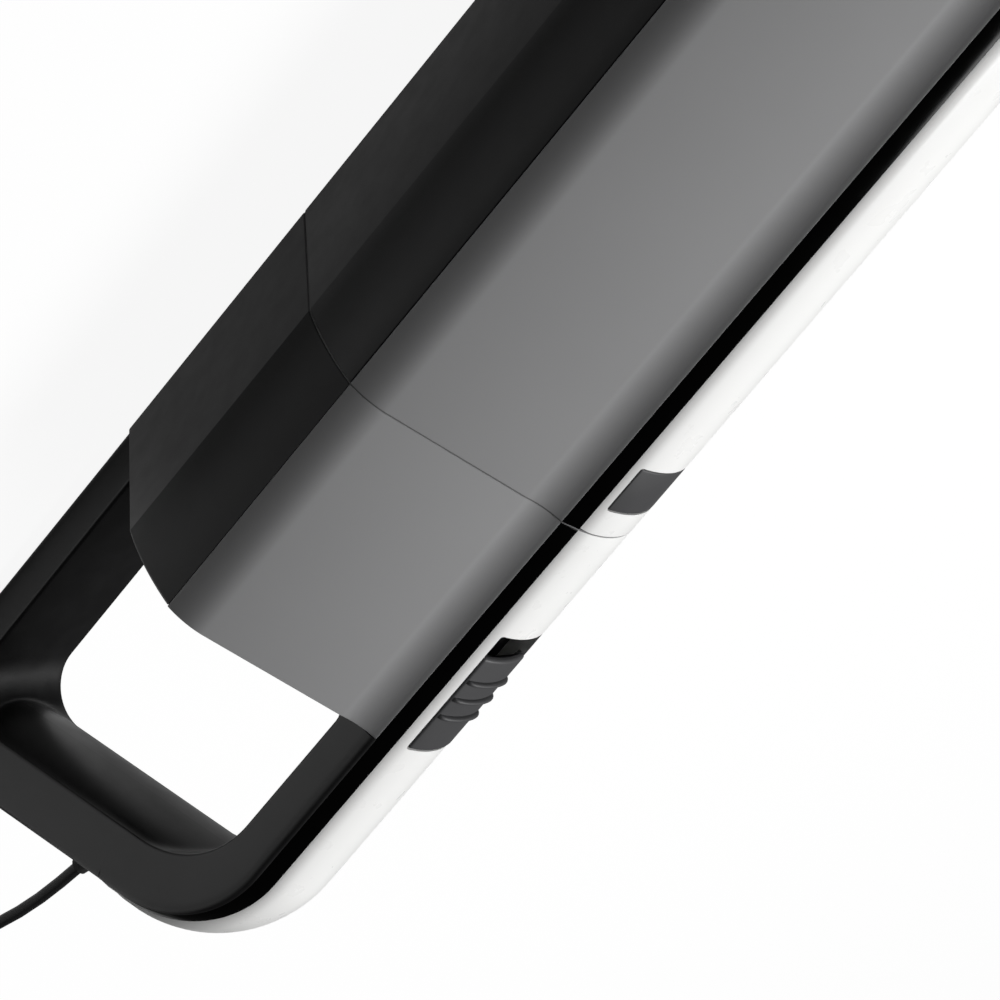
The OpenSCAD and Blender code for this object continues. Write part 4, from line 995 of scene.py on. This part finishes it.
finishes = {
    "black_plastic": dict(colour=(0.004, 0.004, 0.0042), roughness=(0.32, 0.38), grainSize=0.5,
                          grainDepth=0.015, specular=0.45),
    "inner_plastic": dict(colour=(0.04, 0.04, 0.042), roughness=(0.45, 0.55), grainSize=0.8),
    "grey_plastic": dict(colour=(0.38, 0.38, 0.385), roughness=(0.34, 0.38), grainSize=0.25,
                         grainDepth=0.006, vary=0.015, specular=0.35),
    "white_plastic": dict(colour=(0.86, 0.86, 0.85), roughness=(0.26, 0.32), grainSize=1.5,
                          grainDepth=0.004, vary=0.008, specular=0.25),
    "trim_gloss": dict(colour=(0.0006, 0.0006, 0.0006), roughness=(0.1, 0.14), grainSize=1.0,
                       grainDepth=0.002, vary=0.1, specular=0.1),
    "switch_plastic": dict(colour=(0.06, 0.06, 0.062), roughness=(0.4, 0.48), grainSize=0.35,
                           grainDepth=0.02, specular=0.2),
    "fan_plastic": dict(colour=(0.45, 0.45, 0.45), roughness=(0.4, 0.5)),
    "filter_plastic": dict(colour=(0.78, 0.78, 0.77), roughness=(0.35, 0.42), vary=0.02),
    "filter_paper": dict(colour=(0.76, 0.77, 0.74), roughness=(0.85, 0.95), grainSize=0.3,
                         grainDepth=0.08, grainStrength=0.5, vary=0.04, specular=0.2, sheen=0.2),
    "soft_rubber": dict(colour=(0.025, 0.025, 0.025), roughness=(0.6, 0.75), grainSize=0.3, specular=0.3),
    "cord_jacket": dict(colour=(0.012, 0.012, 0.0125), roughness=(0.38, 0.46), grainSize=0.6,
                        grainDepth=0.01, specular=0.25),
    "tie_plastic": dict(colour=(0.018, 0.018, 0.018), roughness=(0.7, 0.85), grainSize=0.25,
                        grainDepth=0.05, grainStrength=0.6, sheen=0.3),
    "plug_plastic": dict(colour=(0.02, 0.02, 0.021), roughness=(0.34, 0.42), grainSize=0.4,
                         grainDepth=0.012),
    "steel": dict(colour=(0.62, 0.63, 0.64), roughness=(0.24, 0.38), metallic=1.0, vary=0.05,
                  stretch=(0.15, 1, 1), grainDepth=0.004),
    "magnet": dict(colour=(0.045, 0.045, 0.05), roughness=(0.5, 0.7), grainSize=0.2, grainDepth=0.03),
    "brass": dict(colour=(0.75, 0.55, 0.25), roughness=(0.22, 0.36), metallic=1.0, vary=0.08,
                  grainDepth=0.004),
    "copper": dict(colour=(0.7, 0.34, 0.16), roughness=(0.25, 0.4), metallic=1.0, vary=0.1,
                   stretch=(6, 1, 1), grainDepth=0.02),
    "lamp_lens": dict(colour=(0.6, 0.04, 0.03), roughness=(0.12, 0.2), grainSize=1.2, grainDepth=0.004,
                      transmission=0.5, vary=0.03),
}
materials = {name: finish(name, **values) for name, values in finishes.items()}


# Painted shade: the facet's highlights are tinted darker by the mask, so it mirrors less than the rest of
# the housing
def paintFacetShade(material):
    tree = material.node_tree
    shader = tree.nodes["Principled BSDF"]
    mask = paintedShadeMask(tree, next(n for n in tree.nodes if n.type == "TEX_COORD"))
    tint = shadedFacet["tint"]
    link(tree, tinted(tree, mask, (1, 1, 1), (tint, tint, tint)), shader.inputs["Specular Tint"])


paintFacetShade(materials["black_plastic"])
for piece in bpy.data.objects:
    slotName = piece.get("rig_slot") or slotOf.get(piece.get("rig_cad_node", ""))
    if piece.type in ("MESH", "CURVE") and slotName in materials:
        piece.data.materials.clear()
        piece.data.materials.append(materials[slotName])
# The lip that shows in the parting line is a lighter grey rubber; its grey is also a painted highlight along
# the seam
lipGreyPaintedHighlight = dict(finishes["soft_rubber"], colour=(0.17, 0.17, 0.172))
gasketLip.data.materials.clear()
gasketLip.data.materials.append(finish("gasket_lip_painted_highlight", **lipGreyPaintedHighlight))
print("finishes:", len(materials))


# Floor, world and lamps
stage = {
    "size": 6.0,
    "level": -0.0003,
    "bounce": 0.1,  # the floor's grey for light that bounces off it
    "glow": 0.92,  # how much of the floor's look is plain white; the rest takes the shadow
    "shade": 0.9,
    "mirrorGlow": 0.15,  # the same in reflections
    # painted shade: in reflections the floor darkens to farShade beyond farTo
    "farShade": 0.3,  # the floor's grey in reflections, beyond farTo
    "farFrom": 0.0,
    "farTo": -0.07,
    "ambient": 0.08,
    "white": 1.0,
    "ceiling": 0.04,
    "ceilingFrom": -0.045,
    "ceilingTo": 0.155,
    "ceilingTilt": 0.25,
}
softbox = {"place": (0.25, -0.5, 1.5), "target": (0, 0, 0.05), "size": 0.9, "power": 30.2}


# 1 for the named kinds of ray, such as camera, glossy and transmission rays
def raysOf(tree, kinds):
    rays = tree.nodes.new("ShaderNodeLightPath")
    value = rays.outputs[f"Is {kinds[0]} Ray"]
    for kind in kinds[1:]:
        value = maths(tree, "MAXIMUM", value, rays.outputs[f"Is {kind} Ray"])
    return value


# The first shader where fac, a number or a socket, is 0, and the second where it is 1
def mixed(tree, fac, first, second):
    mix = tree.nodes.new("ShaderNodeMixShader")
    if isinstance(fac, float):
        mix.inputs["Fac"].default_value = fac
    else:
        link(tree, fac, mix.inputs["Fac"])
    link(tree, first, mix.inputs[1])
    link(tree, second, mix.inputs[2])
    return mix.outputs[0]


# A plain grey surface
def diffuse(tree, value):
    shader = tree.nodes.new("ShaderNodeBsdfDiffuse")
    shader.inputs["Color"].default_value = (value, value, value, 1)
    return shader.outputs[0]


# The floor looks white where it is lit, and takes the object's shadow faintly; in reflections it goes from
# that to farShade, a painted shade, between two places on Y
def addFloor(v):
    s = v["size"]
    mesh = bpy.data.meshes.new("floor")
    mesh.from_pydata([(-s, -s, 0), (s, -s, 0), (s, s, 0), (-s, s, 0)], [], [(0, 1, 2, 3)])
    floor = bpy.data.objects.new("floor", mesh)
    floor.location = (0, 0, v["level"])
    scene.collection.objects.link(floor)
    material = bpy.data.materials.new("paleFloor")
    material.use_nodes = True
    tree = material.node_tree
    tree.nodes.clear()
    glow = tree.nodes.new("ShaderNodeEmission")
    glow.inputs["Strength"].default_value = v["white"]
    lit = diffuse(tree, v["shade"])
    place = tree.nodes.new("ShaderNodeSeparateXYZ")
    link(tree, tree.nodes.new("ShaderNodeTexCoord").outputs["Object"], place.inputs[0])
    far = mapped(tree, place.outputs["Y"], v["farFrom"], v["farTo"])
    glossy = mixed(tree, v["mirrorGlow"], lit, glow.outputs[0])
    glossy = mixed(tree, far, glossy, diffuse(tree, v["farShade"]))
    glossy = mixed(tree, raysOf(tree, ["Glossy"]), diffuse(tree, v["bounce"]), glossy)
    seen = mixed(tree, v["glow"], lit, glow.outputs[0])
    out = tree.nodes.new("ShaderNodeOutputMaterial")
    link(tree, mixed(tree, raysOf(tree, ["Camera", "Transmission"]), glossy, seen), out.inputs["Surface"])
    mesh.materials.append(material)


# White backdrop for the camera, a little light for the object, and in reflections white up to a tilted
# plane, then a dim ceiling: the height is z less ceilingTilt times y of the ray's way
def addWorld(v):
    world = bpy.data.worlds.new("studio")
    scene.world = world
    world.use_nodes = True
    tree = world.node_tree
    tree.nodes.clear()
    lit, white, ceiling, backdrop = (tree.nodes.new("ShaderNodeBackground") for _ in range(4))
    backdrop.inputs["Color"].default_value = (1, 1, 1, 1)
    lit.inputs["Strength"].default_value = v["ambient"]
    white.inputs["Strength"].default_value = v["white"]
    ceiling.inputs["Strength"].default_value = v["ceiling"]
    way = tree.nodes.new("ShaderNodeVectorMath")
    way.operation = "DOT_PRODUCT"
    way.inputs[1].default_value = (0, -v["ceilingTilt"], 1)
    link(tree, tree.nodes.new("ShaderNodeTexCoord").outputs["Generated"], way.inputs[0])
    height = mapped(tree, way.outputs["Value"], v["ceilingFrom"], v["ceilingTo"])
    glossy = mixed(tree, height, white.outputs[0], ceiling.outputs[0])
    glossy = mixed(tree, raysOf(tree, ["Glossy"]), lit.outputs[0], glossy)
    out = tree.nodes.new("ShaderNodeOutputWorld")
    seen = mixed(tree, raysOf(tree, ["Camera", "Transmission"]), glossy, backdrop.outputs[0])
    link(tree, seen, out.inputs["Surface"])


# A square area lamp that faces its target
def addSoftbox(name, v):
    data = bpy.data.lights.new(name, "AREA")
    data.shape = "SQUARE"
    data.size = v["size"]
    data.energy = v["power"]
    lamp = bpy.data.objects.new(name, data)
    lamp.location = v["place"]
    way = Vector(v["target"]) - Vector(v["place"])
    lamp.rotation_euler = way.to_track_quat("-Z", "Y").to_euler()
    scene.collection.objects.link(lamp)


addFloor(stage)
addWorld(stage)
addSoftbox("softboxTop", softbox)
scene.view_settings.view_transform = "Standard"
print("stage and lamps")
